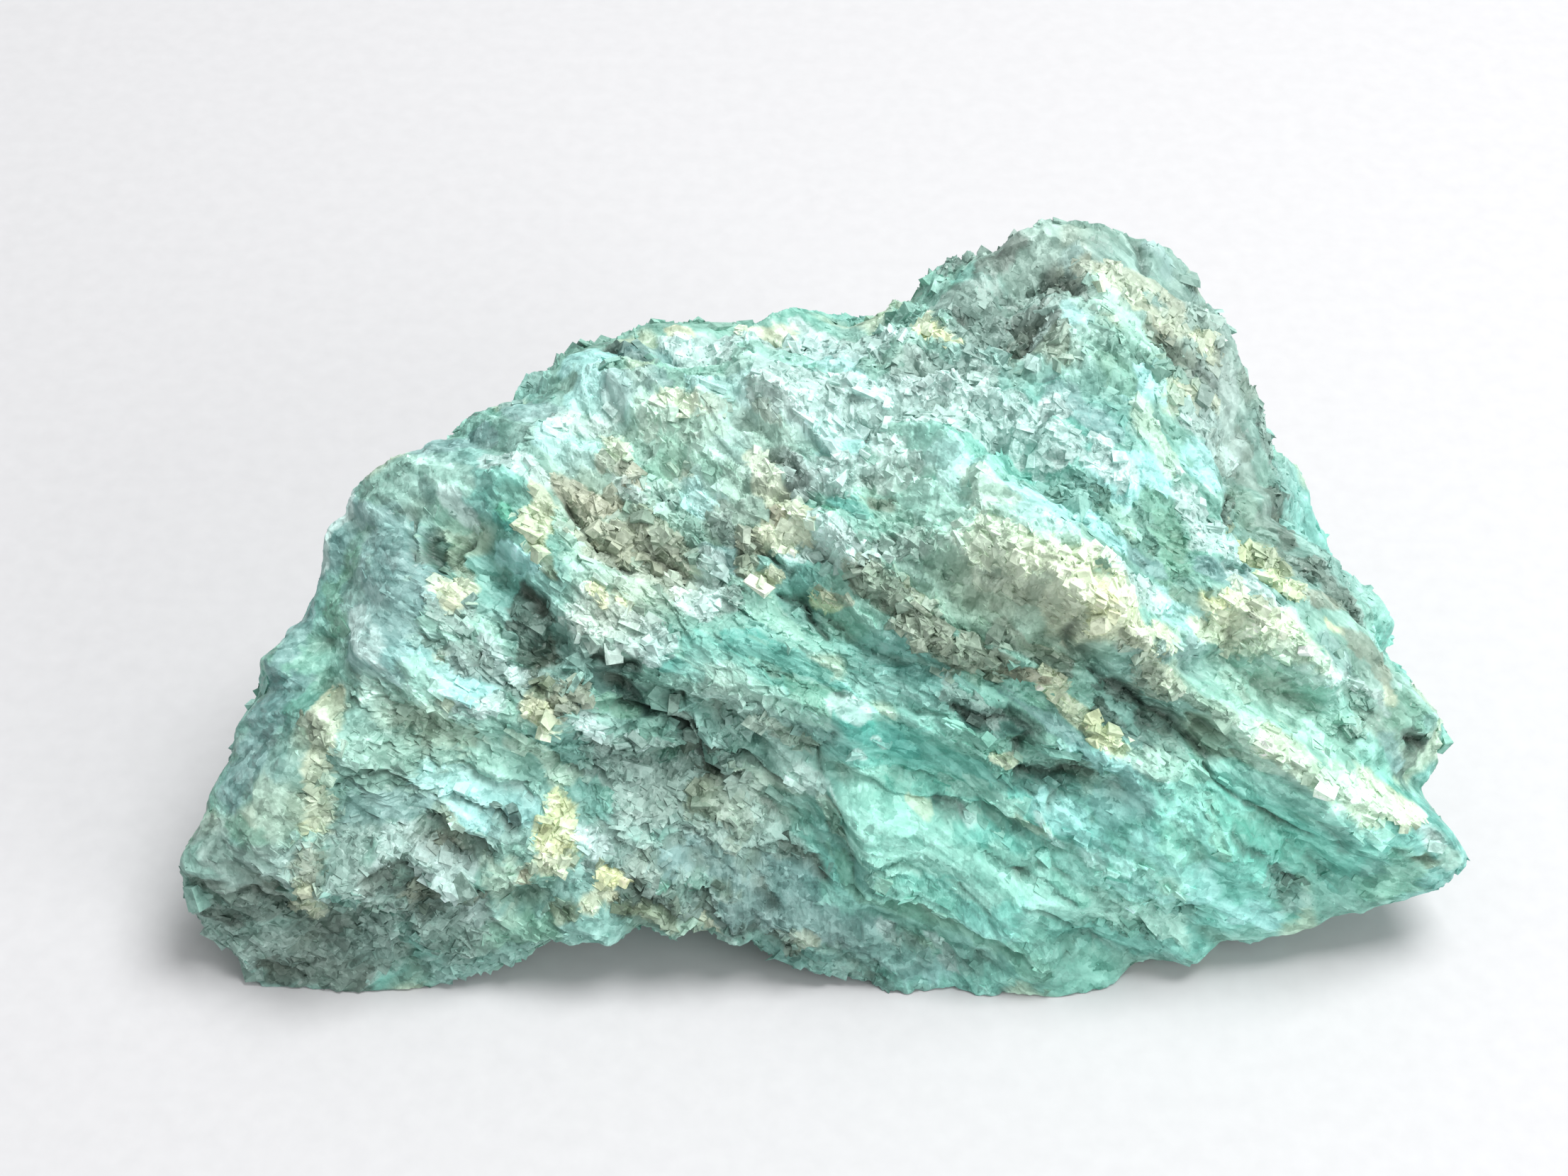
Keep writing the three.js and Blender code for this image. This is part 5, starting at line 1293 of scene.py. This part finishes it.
def painted(points, broken, view, place, layers):
    """Colours, granularity, share of pale crust and calm: the ground of the stone, the named patches
    with ragged rims, and the washes. Calm, 0 to 1, takes most of the grain from smooth places."""
    colours, granularity = ground_of_stone(points, place)
    cover = PATCH_STRENGTH * (0.92 + 0.15 * noise(points, size=0.5, seed=219))
    large_shade, middle_shade = layers[0][1], layers[1][1]
    clean = np.zeros(len(points))
    for seed, (mineral, patches) in enumerate(PATCHES.items(), start=300):
        ragged = 1.0 + RAGGED * noise(points, size=0.9, seed=seed)
        ragged = ragged + RAGGED * large_shade + RAGGED * middle_shade
        share = cover * mineral_share(broken, places_on_stone(patches, view, points), ragged)
        if mineral in PALE_CRUST:
            clean = np.maximum(clean, share)
        granularity = granularity + (GRANULARITY[mineral] - granularity) * share
        colours = blend(colours, linear(PALETTE[mineral]), np.clip(share, 0.0, 1.0))
    colours = washed(colours, points, places_on_stone(WASHES.values(), view, points))
    ragged = 1.0 + RAGGED * noise(points, size=0.9, seed=229)
    calm = mineral_share(broken, places_on_stone(SMOOTH_PLACES.values(), view, points), ragged)
    granularity = np.clip(granularity, 0.0, 1.0) * (1.0 - CALMING * calm)
    return colours, granularity, clean, calm


def with_stain_and_painted_light(points, colours, granularity, shade, streak, hollows, crack_shade, clean):
    """Brown stain in wide hollows, then paler or darker from flake to flake and from streak to streak,
    with a painted highlight on raised edges, painted shade in the hollows and painted shade in the
    cracks. `hollows` are the near, middle and wide hollowness; `clean` is the share of pale crust,
    whose hollows get less painted shade."""
    near, middle, wide = hollows
    stain = smooth(3.0 * wide) * patchy(points, size=1.3, contrast=1.2, seed=223)
    colours = blend(colours, linear(STAIN), STAIN_STRENGTH * stain)
    light = 0.50 * (0.45 + 0.55 * granularity) * shade + 0.26 * (1.0 - granularity) * streak
    light += 0.05 * noise(points, size=1.2, seed=225)
    # Painted highlight on raised edges.
    edge_highlight = smooth(-5.0 * near - 1.5 * middle)
    colours = lightened(colours, SHADE_LIGHT * np.clip(light, -1.0, 1.0) + EDGE_HIGHLIGHT * edge_highlight)
    # Painted shade in the hollows, weaker in pale crust.
    sunk = 2.2 * np.maximum(near, 0.0) + 1.6 * middle + 0.4 * wide
    colours = blend(colours, linear(HOLLOW_SHADE), HOLLOW_SHADE_STRENGTH * (1.0 - 0.6 * clean) * smooth(0.8 * sunk))
    # Painted shade in the cracks, darker where they are deeper.
    return blend(colours, linear(CRACK_SHADE), CRACK_SHADE_STRENGTH * crack_shade)


def tucked_under(points):
    """Points that would lie below the rest level are lifted to it and drawn in towards the middle of
    the stone by twice as much, so that no skirt spreads out on the table."""
    below = np.maximum(REST_LEVEL - points[:, 2], 0.0)
    across = points[:, :2] - HEART[:2]
    across = across / np.maximum(np.linalg.norm(across, axis=1), 0.5)[:, None]
    drawn_in = points.copy()
    drawn_in[:, :2] -= 2.0 * below[:, None] * across
    drawn_in[:, 2] = np.maximum(points[:, 2], REST_LEVEL)
    return drawn_in


def make_stone():
    """The stone's points and quads, the cube face of each quad, and its colours, granularity and
    places along the cleavage.

    Grid directions times the soft reach of the block give the rough shape; relief then moves every
    point along `outward`, loose grains are shaken sideways, and nothing sinks below the rest level.
    The named patches, cracks and ledges are looked up on the stone with its broad relief.
    """
    corners = np.array([corner for row in CORNERS.values() for corner in row])
    directions, quads, side_of_quad = direction_grid()
    rough = HEART + directions * HALF_SIZE * soft_reach(directions, hew_facets(corners))[:, None]
    relief, bent, lean = shared_relief(rough)
    view = seen_by_camera(rough + outward(rough) * relief[:, None])
    layers = flakes(rough)
    broken = shaken_points(rough, amount=0.10, size=0.45, seed=41)
    place = bent @ CLEAVAGE
    colours, granularity, clean, calm = painted(rough, broken, view, place, layers)

    detail, streak = fine_relief(rough, bent, lean, granularity, layers)
    uneven = 1.0 + 0.25 * noise(rough, size=0.4, seed=227) + 0.40 * layers[1][0] + 0.25 * layers[2][0]
    cracks = places_on_stone(CRACKS.values(), view, rough)
    deep, crack_shade = crack_depth(broken, cracks, np.maximum(uneven, 0.3))
    relief = relief + detail * (1.0 - CALMING * calm) - CRACK_SHARE * deep
    relief = relief + ledge_rise(broken, places_on_stone(LEDGES.values(), view, rough))
    relief = relief + swell_rise(rough, places_on_stone(SWELLS.values(), view, rough))

    hollows = hollowness(relief, *edges_of(quads, rough), HOLLOW_ROUNDS)
    shade = sum(weight * shades for (_, shades), (*_, weight) in zip(layers, FLAKES))
    colours = with_stain_and_painted_light(rough, colours, granularity, shade, streak, hollows, crack_shade, clean)
    shake = np.random.default_rng(5).normal(0.0, GRAIN_SHAKE, rough.shape) * (0.2 + granularity)[:, None]
    points = tucked_under(rough + outward(rough) * relief[:, None] + shake)
    return points, quads, side_of_quad, colours, granularity, place


# ---------------------------------------------------------------- loose crystals

# Corners and triangles of a block and of a flake, before they are shaken and scaled.
BLOCK_CORNERS = np.array([[x, y, z] for x in (-1, 1) for y in (-1, 1) for z in (-1, 1)], dtype=float)
BLOCK_SIDES = [
    (0, 1, 3), (0, 3, 2), (4, 6, 7), (4, 7, 5), (0, 4, 5), (0, 5, 1),
    (2, 3, 7), (2, 7, 6), (0, 2, 6), (0, 6, 4), (1, 5, 7), (1, 7, 3),
]
FLAKE_CORNERS = np.array([[1, 0, 0], [-1, 0, 0], [0, 1, 0], [0, -1, 0], [0, 0, 1], [0, 0, -1]], dtype=float)
FLAKE_SIDES = [
    (0, 2, 4), (2, 1, 4), (1, 3, 4), (3, 0, 4), (2, 0, 5), (1, 2, 5), (3, 1, 5), (0, 3, 5),
]
LEAST_HEIGHT = 0.15                             # no crystals on quads nearer than this to the table, in mm
CORNER_SHAKE = 0.35                             # corners move by up to this share of the half size
SIZE_SPREAD = 0.30                              # spread of the sizes, as a power of e
PROPORTIONS = (0.75, 1.3)                       # each side is longer or shorter by a factor between these
LEAST_PROUD = 0.2                               # least share of the full height above the surface


def lying_on(normal):
    """Matrices of three directions for crystals that lie on the surface: the cleavage direction laid
    flat on it, the direction across, and the surface normal."""
    along = CLEAVAGE_ALONG - (normal @ CLEAVAGE_ALONG)[:, None] * normal
    along /= np.linalg.norm(along, axis=1)[:, None] + TINY
    return np.stack([along, np.cross(normal, along), normal], axis=2)


def turns(count, spread, rng):
    """Matrices that turn by a random angle about a random axis: cosine * identity + sine * cross
    product with the axis + (1 - cosine) * outer product of the axis."""
    axis = rng.normal(size=(count, 3))
    axis /= np.linalg.norm(axis, axis=1)[:, None]
    angle = rng.normal(0.0, spread, count)
    cosine, sine = np.cos(angle)[:, None, None], np.sin(angle)[:, None, None]
    cross = np.zeros((count, 3, 3))
    cross[:, 0, 1], cross[:, 0, 2] = -axis[:, 2], axis[:, 1]
    cross[:, 1, 0], cross[:, 1, 2] = axis[:, 2], -axis[:, 0]
    cross[:, 2, 0], cross[:, 2, 1] = -axis[:, 1], axis[:, 0]
    outer = axis[:, :, None] * axis[:, None, :]
    return cosine * np.eye(3) + sine * cross + (1.0 - cosine) * outer


def pick_places(points, quads, likelihood, count, rng):
    """Random places on the visible stone: quads drawn by area times likelihood, and a random spot in
    each. Gives positions, the normals of the quads and their numbers."""
    corner = points[quads]
    normal = np.cross(corner[:, 2] - corner[:, 0], corner[:, 3] - corner[:, 1])
    doubled_area = np.linalg.norm(normal, axis=1)
    above_rest = corner[:, :, 2].min(axis=1) > REST_LEVEL + LEAST_HEIGHT
    chance_of_quad = doubled_area * likelihood[quads].mean(axis=1) * above_rest
    chosen = rng.choice(len(quads), size=count, p=chance_of_quad / chance_of_quad.sum())
    u, v = rng.random((2, count, 1))
    c = corner[chosen]
    spot = (1 - u) * (1 - v) * c[:, 0] + u * (1 - v) * c[:, 1] + u * v * c[:, 2] + (1 - u) * v * c[:, 3]
    return spot, normal[chosen] / doubled_area[chosen][:, None], chosen


def crystals(stone, likelihood, count, half_size, shape, spread, proud, seed):
    """Loose crystals set in the stone: their points, sides and quad numbers.

    Each takes the corners of a block or flake, shakes them, scales them by a random half size, lays
    them nearly flat and sinks them until their highest corner stands `proud` of the surface.
    """
    rng = np.random.default_rng(seed)
    points, quads = stone
    spot, normal, chosen = pick_places(points, quads, likelihood, count, rng)
    corners, sides = (BLOCK_CORNERS, BLOCK_SIDES) if shape == "block" else (FLAKE_CORNERS, FLAKE_SIDES)
    shaken = corners + rng.uniform(-CORNER_SHAKE, CORNER_SHAKE, (count, len(corners), 3))
    scale = np.array(half_size) * np.exp(rng.normal(0.0, SIZE_SPREAD, (count, 1)))
    shape_of_each = shaken * scale[:, None, :] * rng.uniform(*PROPORTIONS, (count, 1, 3))
    turn = lying_on(normal) @ turns(count, spread, rng)
    turned = shape_of_each @ np.transpose(turn, (0, 2, 1))
    rise = np.einsum("nkj,nj->nk", turned, normal).max(axis=1)
    middle = spot + normal * (proud * rng.uniform(LEAST_PROUD, 1.0, count) - rise)[:, None]
    placed = turned + middle[:, None, :]
    placed[:, :, 2] = np.maximum(placed[:, :, 2], REST_LEVEL)
    faces = np.arange(count)[:, None, None] * len(corners) + np.array(sides)
    return placed.reshape(-1, 3), faces.reshape(-1, 3), chosen


# ---------------------------------------------------------------- pieces

WALL_DEPTH = 0.8                                # how far the walls of a wedge go straight in


def halved(points, quads):
    """Two triangles for every quad, split along its shorter diagonal."""
    first = np.linalg.norm(points[quads[:, 0]] - points[quads[:, 2]], axis=1)
    second = np.linalg.norm(points[quads[:, 1]] - points[quads[:, 3]], axis=1)
    turned = np.where((first <= second)[:, None], quads, np.roll(quads, -1, axis=1))
    return np.concatenate([turned[:, [0, 1, 2]], turned[:, [0, 2, 3]]])


def wedge_of(points, quads, values):
    """A closed wedge of the stone: the given part of its surface, walls that go straight in from the
    rim of that part, and a fan from their inner rim to the heart. Gives its points, triangles and
    values. The rim is made of the quad sides that are walked one way only."""
    kept, numbers = np.unique(quads, return_inverse=True)
    own = numbers.reshape(quads.shape)
    steps = np.concatenate([own[:, [n, (n + 1) % 4]] for n in range(4)])
    forth = steps[:, 0] * len(kept) + steps[:, 1]
    back = steps[:, 1] * len(kept) + steps[:, 0]
    rim = steps[~np.isin(forth, back)]
    on_rim = np.unique(rim)
    inner = np.zeros(len(kept), dtype=int)
    inner[on_rim] = len(kept) + np.arange(len(on_rim))
    heart = len(kept) + len(on_rim)
    outer_part = np.stack([rim[:, 1], rim[:, 0], inner[rim[:, 0]]], axis=1)
    inner_part = np.stack([rim[:, 1], inner[rim[:, 0]], inner[rim[:, 1]]], axis=1)
    fan = np.stack([inner[rim[:, 1]], inner[rim[:, 0]], np.full(len(rim), heart)], axis=1)
    triangles = np.concatenate([halved(points[kept], own), outer_part, inner_part, fan])
    skin = points[kept]
    inside = skin[on_rim] - WALL_DEPTH * outward(skin[on_rim])
    own_values = {}
    for label, numbers_of_all in values.items():
        part = numbers_of_all[kept]
        own_values[label] = np.concatenate([part, part[on_rim], part.mean(axis=0, keepdims=True)])
    return np.concatenate([skin, inside, HEART[None]]), triangles, own_values


def add_attribute(mesh, name, kind, field, numbers):
    """A named attribute with one value, vector or colour for each point."""
    attribute = mesh.attributes.new(name, kind, "POINT")
    attribute.data.foreach_set(field, numbers.astype(np.float32).ravel())


def add_piece(name, points, triangles, material, values):
    """One mesh piece in metres, flat shaded, with the tint, place and granularity of each point, that
    rides on the stone's body."""
    mesh = bpy.data.meshes.new(name)
    mesh.vertices.add(len(points))
    mesh.vertices.foreach_set("co", (points * MM).astype(np.float32).ravel())
    mesh.loops.add(triangles.size)
    mesh.loops.foreach_set("vertex_index", triangles.astype(np.int32).ravel())
    mesh.polygons.add(len(triangles))
    mesh.polygons.foreach_set("loop_start", np.arange(len(triangles), dtype=np.int32) * 3)
    mesh.update(calc_edges=True)
    mesh.shade_flat()
    opaque_tint = np.concatenate([values["tint"], np.ones((len(points), 1))], axis=1)
    add_attribute(mesh, "tint", "FLOAT_COLOR", "color", opaque_tint)
    add_attribute(mesh, "place", "FLOAT_VECTOR", "vector", values["place"])
    add_attribute(mesh, "granularity", "FLOAT", "value", values["granularity"])
    mesh.materials.append(material)
    piece = bpy.data.objects.new(name, mesh)
    bpy.context.scene.collection.objects.link(piece)
    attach(piece, "root")
    return piece


# ---------------------------------------------------------------- materials

GRAIN_SCALE = 2.8                               # grains and specks, in cells per mm
SPECK_SCALE = 6.0
STREAK_SCALE = (0.5, 3.8, 4.8)                  # streaks along, across and through the cleavage, per mm
SHARD_SCALE = (0.9, 3.2, 3.2)
ROUGH_SCALE = 6.0
LIGHTNESS_RANGE = 0.16                          # how much grains, streaks and shards differ as displayed
LEAST_SHOWN = (0.08, 0.08, 0.08)                # displayed colours stay between these
MOST_SHOWN = (0.97, 0.97, 0.97)
BUMP_STRENGTH = 0.45
BUMP_DISTANCE = 0.00004                         # in metres
IOR_OF_FELDSPAR = 1.52
TABLE_DARK = (0.56, 0.56, 0.573, 1.0)
TABLE_LIGHT = (0.62, 0.62, 0.633, 1.0)
TABLE_MOTTLE_SCALE = 1400.0                     # per metre
TABLE_ROUGHNESS = 0.75


def add(tree, kind, inputs=None, **settings):
    """A new node with its settings; inputs maps a socket's name or number to a constant or to the
    socket that feeds it."""
    node = tree.nodes.new(kind)
    for name, value in settings.items():
        setattr(node, name, value)
    for name, value in (inputs or {}).items():
        if isinstance(value, bpy.types.NodeSocket):
            tree.links.new(value, node.inputs[name])
        else:
            node.inputs[name].default_value = value
    return node


def calculate(tree, operation, first, second=0.0, third=0.0):
    """Output of a math node."""
    return add(tree, "ShaderNodeMath", {0: first, 1: second, 2: third}, operation=operation).outputs[0]


def centred(tree, value, width):
    """A 0 to 1 value spread over a width around zero: value * width - width / 2."""
    return calculate(tree, "MULTIPLY_ADD", value, width, -width / 2.0)


def vectors(tree, operation, first, second):
    """Output of a vector math node."""
    return add(tree, "ShaderNodeVectorMath", {0: first, 1: second}, operation=operation).outputs[0]


def fine_noise(tree, vector, scale, detail):
    """Outputs of a noise texture: first a value from 0 to 1, and by name a colour."""
    inputs = {"Vector": vector, "Scale": scale, "Detail": detail}
    return add(tree, "ShaderNodeTexNoise", inputs).outputs


def cells(tree, vector, scale):
    """A random colour for each cell of a broken pattern, and its red, green and blue parts."""
    colour = add(tree, "ShaderNodeTexVoronoi", {"Vector": vector, "Scale": scale}).outputs["Color"]
    return colour, add(tree, "ShaderNodeSeparateColor", {0: colour}).outputs


def new_material(name):
    """An empty node material with its shader joined to the output: (material, tree, shader)."""
    material = bpy.data.materials.new(name)
    material.use_nodes = True
    tree = material.node_tree
    tree.nodes.clear()
    shader = tree.nodes.new("ShaderNodeBsdfPrincipled")
    output = tree.nodes.new("ShaderNodeOutputMaterial")
    tree.links.new(shader.outputs[0], output.inputs[0])
    return material, tree, shader


def stone_material(name, least_roughness):
    """Feldspar rock: the tint of each point, lighter and darker from grain to grain where the rock is
    granular and in streaks along the cleavage where it is a slab. Every grain leans its own way."""
    material, tree, shader = new_material(name)
    tint = add(tree, "ShaderNodeAttribute", attribute_name="tint").outputs["Color"]
    granular = add(tree, "ShaderNodeAttribute", attribute_name="granularity").outputs["Fac"]
    place = add(tree, "ShaderNodeAttribute", attribute_name="place").outputs["Vector"]
    metres = add(tree, "ShaderNodeTexCoord").outputs["Object"]
    spot = vectors(tree, "MULTIPLY", metres, (1000.0, 1000.0, 1000.0))
    sway = fine_noise(tree, spot, scale=3.0, detail=2.0)["Color"]
    shaken = vectors(tree, "MULTIPLY", sway, (0.35, 0.35, 0.35))
    loose = vectors(tree, "ADD", spot, shaken)
    grain_colour, grain = cells(tree, loose, GRAIN_SCALE)
    speck_colour, speck = cells(tree, loose, SPECK_SCALE)
    drawn_out = vectors(tree, "MULTIPLY", place, STREAK_SCALE)
    streaks = fine_noise(tree, drawn_out, scale=1.0, detail=3.0)[0]
    splintery = vectors(tree, "MULTIPLY", vectors(tree, "ADD", place, shaken), SHARD_SCALE)
    shard_colour, shard = cells(tree, splintery, 1.0)

    # Colour: the displayed tint plus lightness from grains and specks on loose rock, and from streaks
    # and shards on slabs.
    on_slabs = calculate(tree, "SUBTRACT", 1.0, granular)
    from_grains = calculate(tree, "ADD", centred(tree, grain[0], 1.1), centred(tree, speck[0], 0.7))
    on_loose_rock = calculate(tree, "MULTIPLY_ADD", granular, 0.60, 0.15)
    from_streaks = calculate(tree, "ADD", centred(tree, streaks, 2.8), centred(tree, shard[0], 1.1))
    streaky = calculate(tree, "MULTIPLY", from_streaks, on_slabs)
    light = calculate(tree, "MULTIPLY_ADD", from_grains, on_loose_rock, streaky)
    displayed = add(tree, "ShaderNodeGamma", {0: tint, 1: 1.0 / DISPLAY_GAMMA}).outputs[0]
    lighter = vectors(tree, "ADD", displayed, calculate(tree, "MULTIPLY", light, LIGHTNESS_RANGE))
    kept_in = vectors(tree, "MINIMUM", vectors(tree, "MAXIMUM", lighter, LEAST_SHOWN), MOST_SHOWN)
    colour = add(tree, "ShaderNodeGamma", {0: kept_in, 1: DISPLAY_GAMMA}).outputs[0]

    # Relief too fine for the mesh: each grain, speck and shard leans its own way, with small bumps.
    lean_of_cells = vectors(tree, "ADD", vectors(tree, "ADD", grain_colour, speck_colour), shard_colour)
    lean_of_cells = vectors(tree, "SUBTRACT", lean_of_cells, (1.5, 1.5, 1.5))
    leaning = calculate(tree, "MULTIPLY_ADD", granular, 0.20, 0.24)
    lean = vectors(tree, "MULTIPLY", lean_of_cells, leaning)
    faces = add(tree, "ShaderNodeNewGeometry").outputs["Normal"]
    tilted = vectors(tree, "NORMALIZE", vectors(tree, "ADD", faces, lean), (0.0, 0.0, 0.0))
    rough_noise = fine_noise(tree, spot, ROUGH_SCALE, detail=3.0)[0]
    ridges = calculate(tree, "MULTIPLY", calculate(tree, "MULTIPLY", streaks, on_slabs), 1.6)
    bumps = calculate(tree, "ADD", rough_noise, ridges)
    bump_inputs = {"Strength": BUMP_STRENGTH, "Distance": BUMP_DISTANCE, "Height": bumps, "Normal": tilted}
    bump = add(tree, "ShaderNodeBump", bump_inputs).outputs[0]

    roughness = calculate(tree, "MULTIPLY_ADD", speck[2], 0.40, least_roughness)
    tree.links.new(colour, shader.inputs["Base Color"])
    tree.links.new(roughness, shader.inputs["Roughness"])
    tree.links.new(bump, shader.inputs["Normal"])
    shader.inputs["IOR"].default_value = IOR_OF_FELDSPAR
    shader.inputs["Specular IOR Level"].default_value = 0.5
    return material


def table_material():
    """Pale matt table top with a faint, fine mottle."""
    material, tree, shader = new_material("pale table")
    metres = add(tree, "ShaderNodeTexCoord").outputs["Object"]
    mottle = fine_noise(tree, metres, TABLE_MOTTLE_SCALE, detail=4.0)[0]
    inputs = {0: mottle, 6: TABLE_DARK, 7: TABLE_LIGHT}
    colour = add(tree, "ShaderNodeMix", inputs, data_type="RGBA").outputs[2]
    tree.links.new(colour, shader.inputs["Base Color"])
    shader.inputs["Roughness"].default_value = TABLE_ROUGHNESS
    return material


# ---------------------------------------------------------------- the object

points, quads, side_of_quad, colours, granularity, place = make_stone()
rock = stone_material("amazonite rock", 0.38)
surface = {"tint": colours, "granularity": granularity, "place": place}
for number, side in enumerate(SIDES):
    wedge_points, triangles, values = wedge_of(points, quads[side_of_quad == number], surface)
    piece = add_piece("stone_" + side, wedge_points, triangles, rock, values)
    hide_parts("amazonite_stone")

# name: (number, half sizes in mm, shape, spread of turns in radians, height proud in mm, seed)
CRYSTALS = {
    "feldspar_plates": (6000, (0.20, 0.13, 0.06), "block", 0.30, 0.03, 901),
    "frosty_flakes": (10000, (0.16, 0.11, 0.06), "flake", 0.40, 0.035, 903),
    "crust_grains": (8000, (0.16, 0.13, 0.11), "block", 1.50, 0.08, 904),
}
# Where they lie: plates and flakes more on granular rock than on slabs, crust grains on loose crust.
LIKELIHOOD = {
    "feldspar_plates": 0.02 + granularity**2,
    "frosty_flakes": 0.02 + granularity**2,
    "crust_grains": granularity**8,
}
# name: (brightness, how much it differs from crystal to crystal, least roughness)
FINISH = {
    "feldspar_plates": (1.03, 0.06, 0.35),
    "frosty_flakes": (1.08, 0.10, 0.30),
    "crust_grains": (1.02, 0.10, 0.50),
}
BRIGHTEST_TINT = 0.92
colour_of_quads = colours[quads].mean(axis=1)
for name, (count, half_size, shape, spread, proud, seed) in CRYSTALS.items():
    crystal_points, crystal_faces, chosen = crystals(
        (points, quads), LIKELIHOOD[name], count, half_size, shape, spread, proud, seed
    )
    brightness, difference, roughness = FINISH[name]
    rng = np.random.default_rng(seed + 50)
    tints = colour_of_quads[chosen] * brightness * np.exp(rng.normal(0.0, difference, (count, 1)))
    corners_each = len(crystal_points) // count
    values = {
        "tint": np.repeat(np.clip(tints, 0.0, BRIGHTEST_TINT), corners_each, axis=0),
        "granularity": np.repeat(granularity[quads[chosen, 0]], corners_each),
        "place": crystal_points @ CLEAVAGE,
    }
    add_piece(name, crystal_points, crystal_faces, stone_material(name, roughness), values)

# ---------------------------------------------------------------- table, light and camera

TABLE_HALF = 0.6                                # half width of the table, in metres
TABLE_LEVEL = -0.00002                          # just below the stone's rest level, in metres
SKY_STRENGTH = 0.49
# Soft lights: place, aim and size in metres, and power in watts.
LIGHTS = {
    "window": ((0.09, 0.03, 0.26), (0.0, 0.0, 0.008), 0.15, 0.84),
    "soft side light": ((0.28, -0.20, 0.14), (0.005, 0.0, 0.006), 0.20, 0.52),
}

table_mesh = bpy.data.meshes.new("table")
table_mesh.from_pydata(
    [(x * TABLE_HALF, y * TABLE_HALF, TABLE_LEVEL) for x, y in ((-1, -1), (1, -1), (1, 1), (-1, 1))],
    [],
    [(0, 1, 2, 3)],
)
table_mesh.materials.append(table_material())
table = bpy.data.objects.new("table", table_mesh)
bpy.context.scene.collection.objects.link(table)

world = bpy.data.worlds.new("soft daylight")
world.use_nodes = True
sky = world.node_tree.nodes["Background"]
sky.inputs["Color"].default_value = (1.0, 1.0, 1.0, 1.0)
sky.inputs["Strength"].default_value = SKY_STRENGTH
bpy.context.scene.world = world

for name, (place_of_light, aim, size, power) in LIGHTS.items():
    light = bpy.data.lights.new(name, "AREA")
    light.shape = "SQUARE"
    light.size = size
    light.energy = power
    lamp = bpy.data.objects.new(name, light)
    lamp.location = place_of_light
    toward = np.array(aim) - np.array(place_of_light)
    level_distance = math.hypot(toward[0], toward[1])
    lamp.rotation_euler = (math.atan2(level_distance, -toward[2]), 0.0, math.atan2(-toward[0], toward[1]))
    bpy.context.scene.collection.objects.link(lamp)

camera_data = bpy.data.cameras.new("camera")
camera_data.lens = LENS
camera_data.sensor_width = SENSOR
camera_data.clip_start = 0.005
camera_data.clip_end = 5.0
camera = bpy.data.objects.new("camera", camera_data)
camera.location = CAMERA_PLACE * MM
camera.rotation_euler = (math.pi / 2.0 - VIEW_ELEVATION, 0.0, 0.0)
bpy.context.scene.collection.objects.link(camera)
bpy.context.scene.camera = camera
bpy.context.scene.view_settings.view_transform = "Standard"
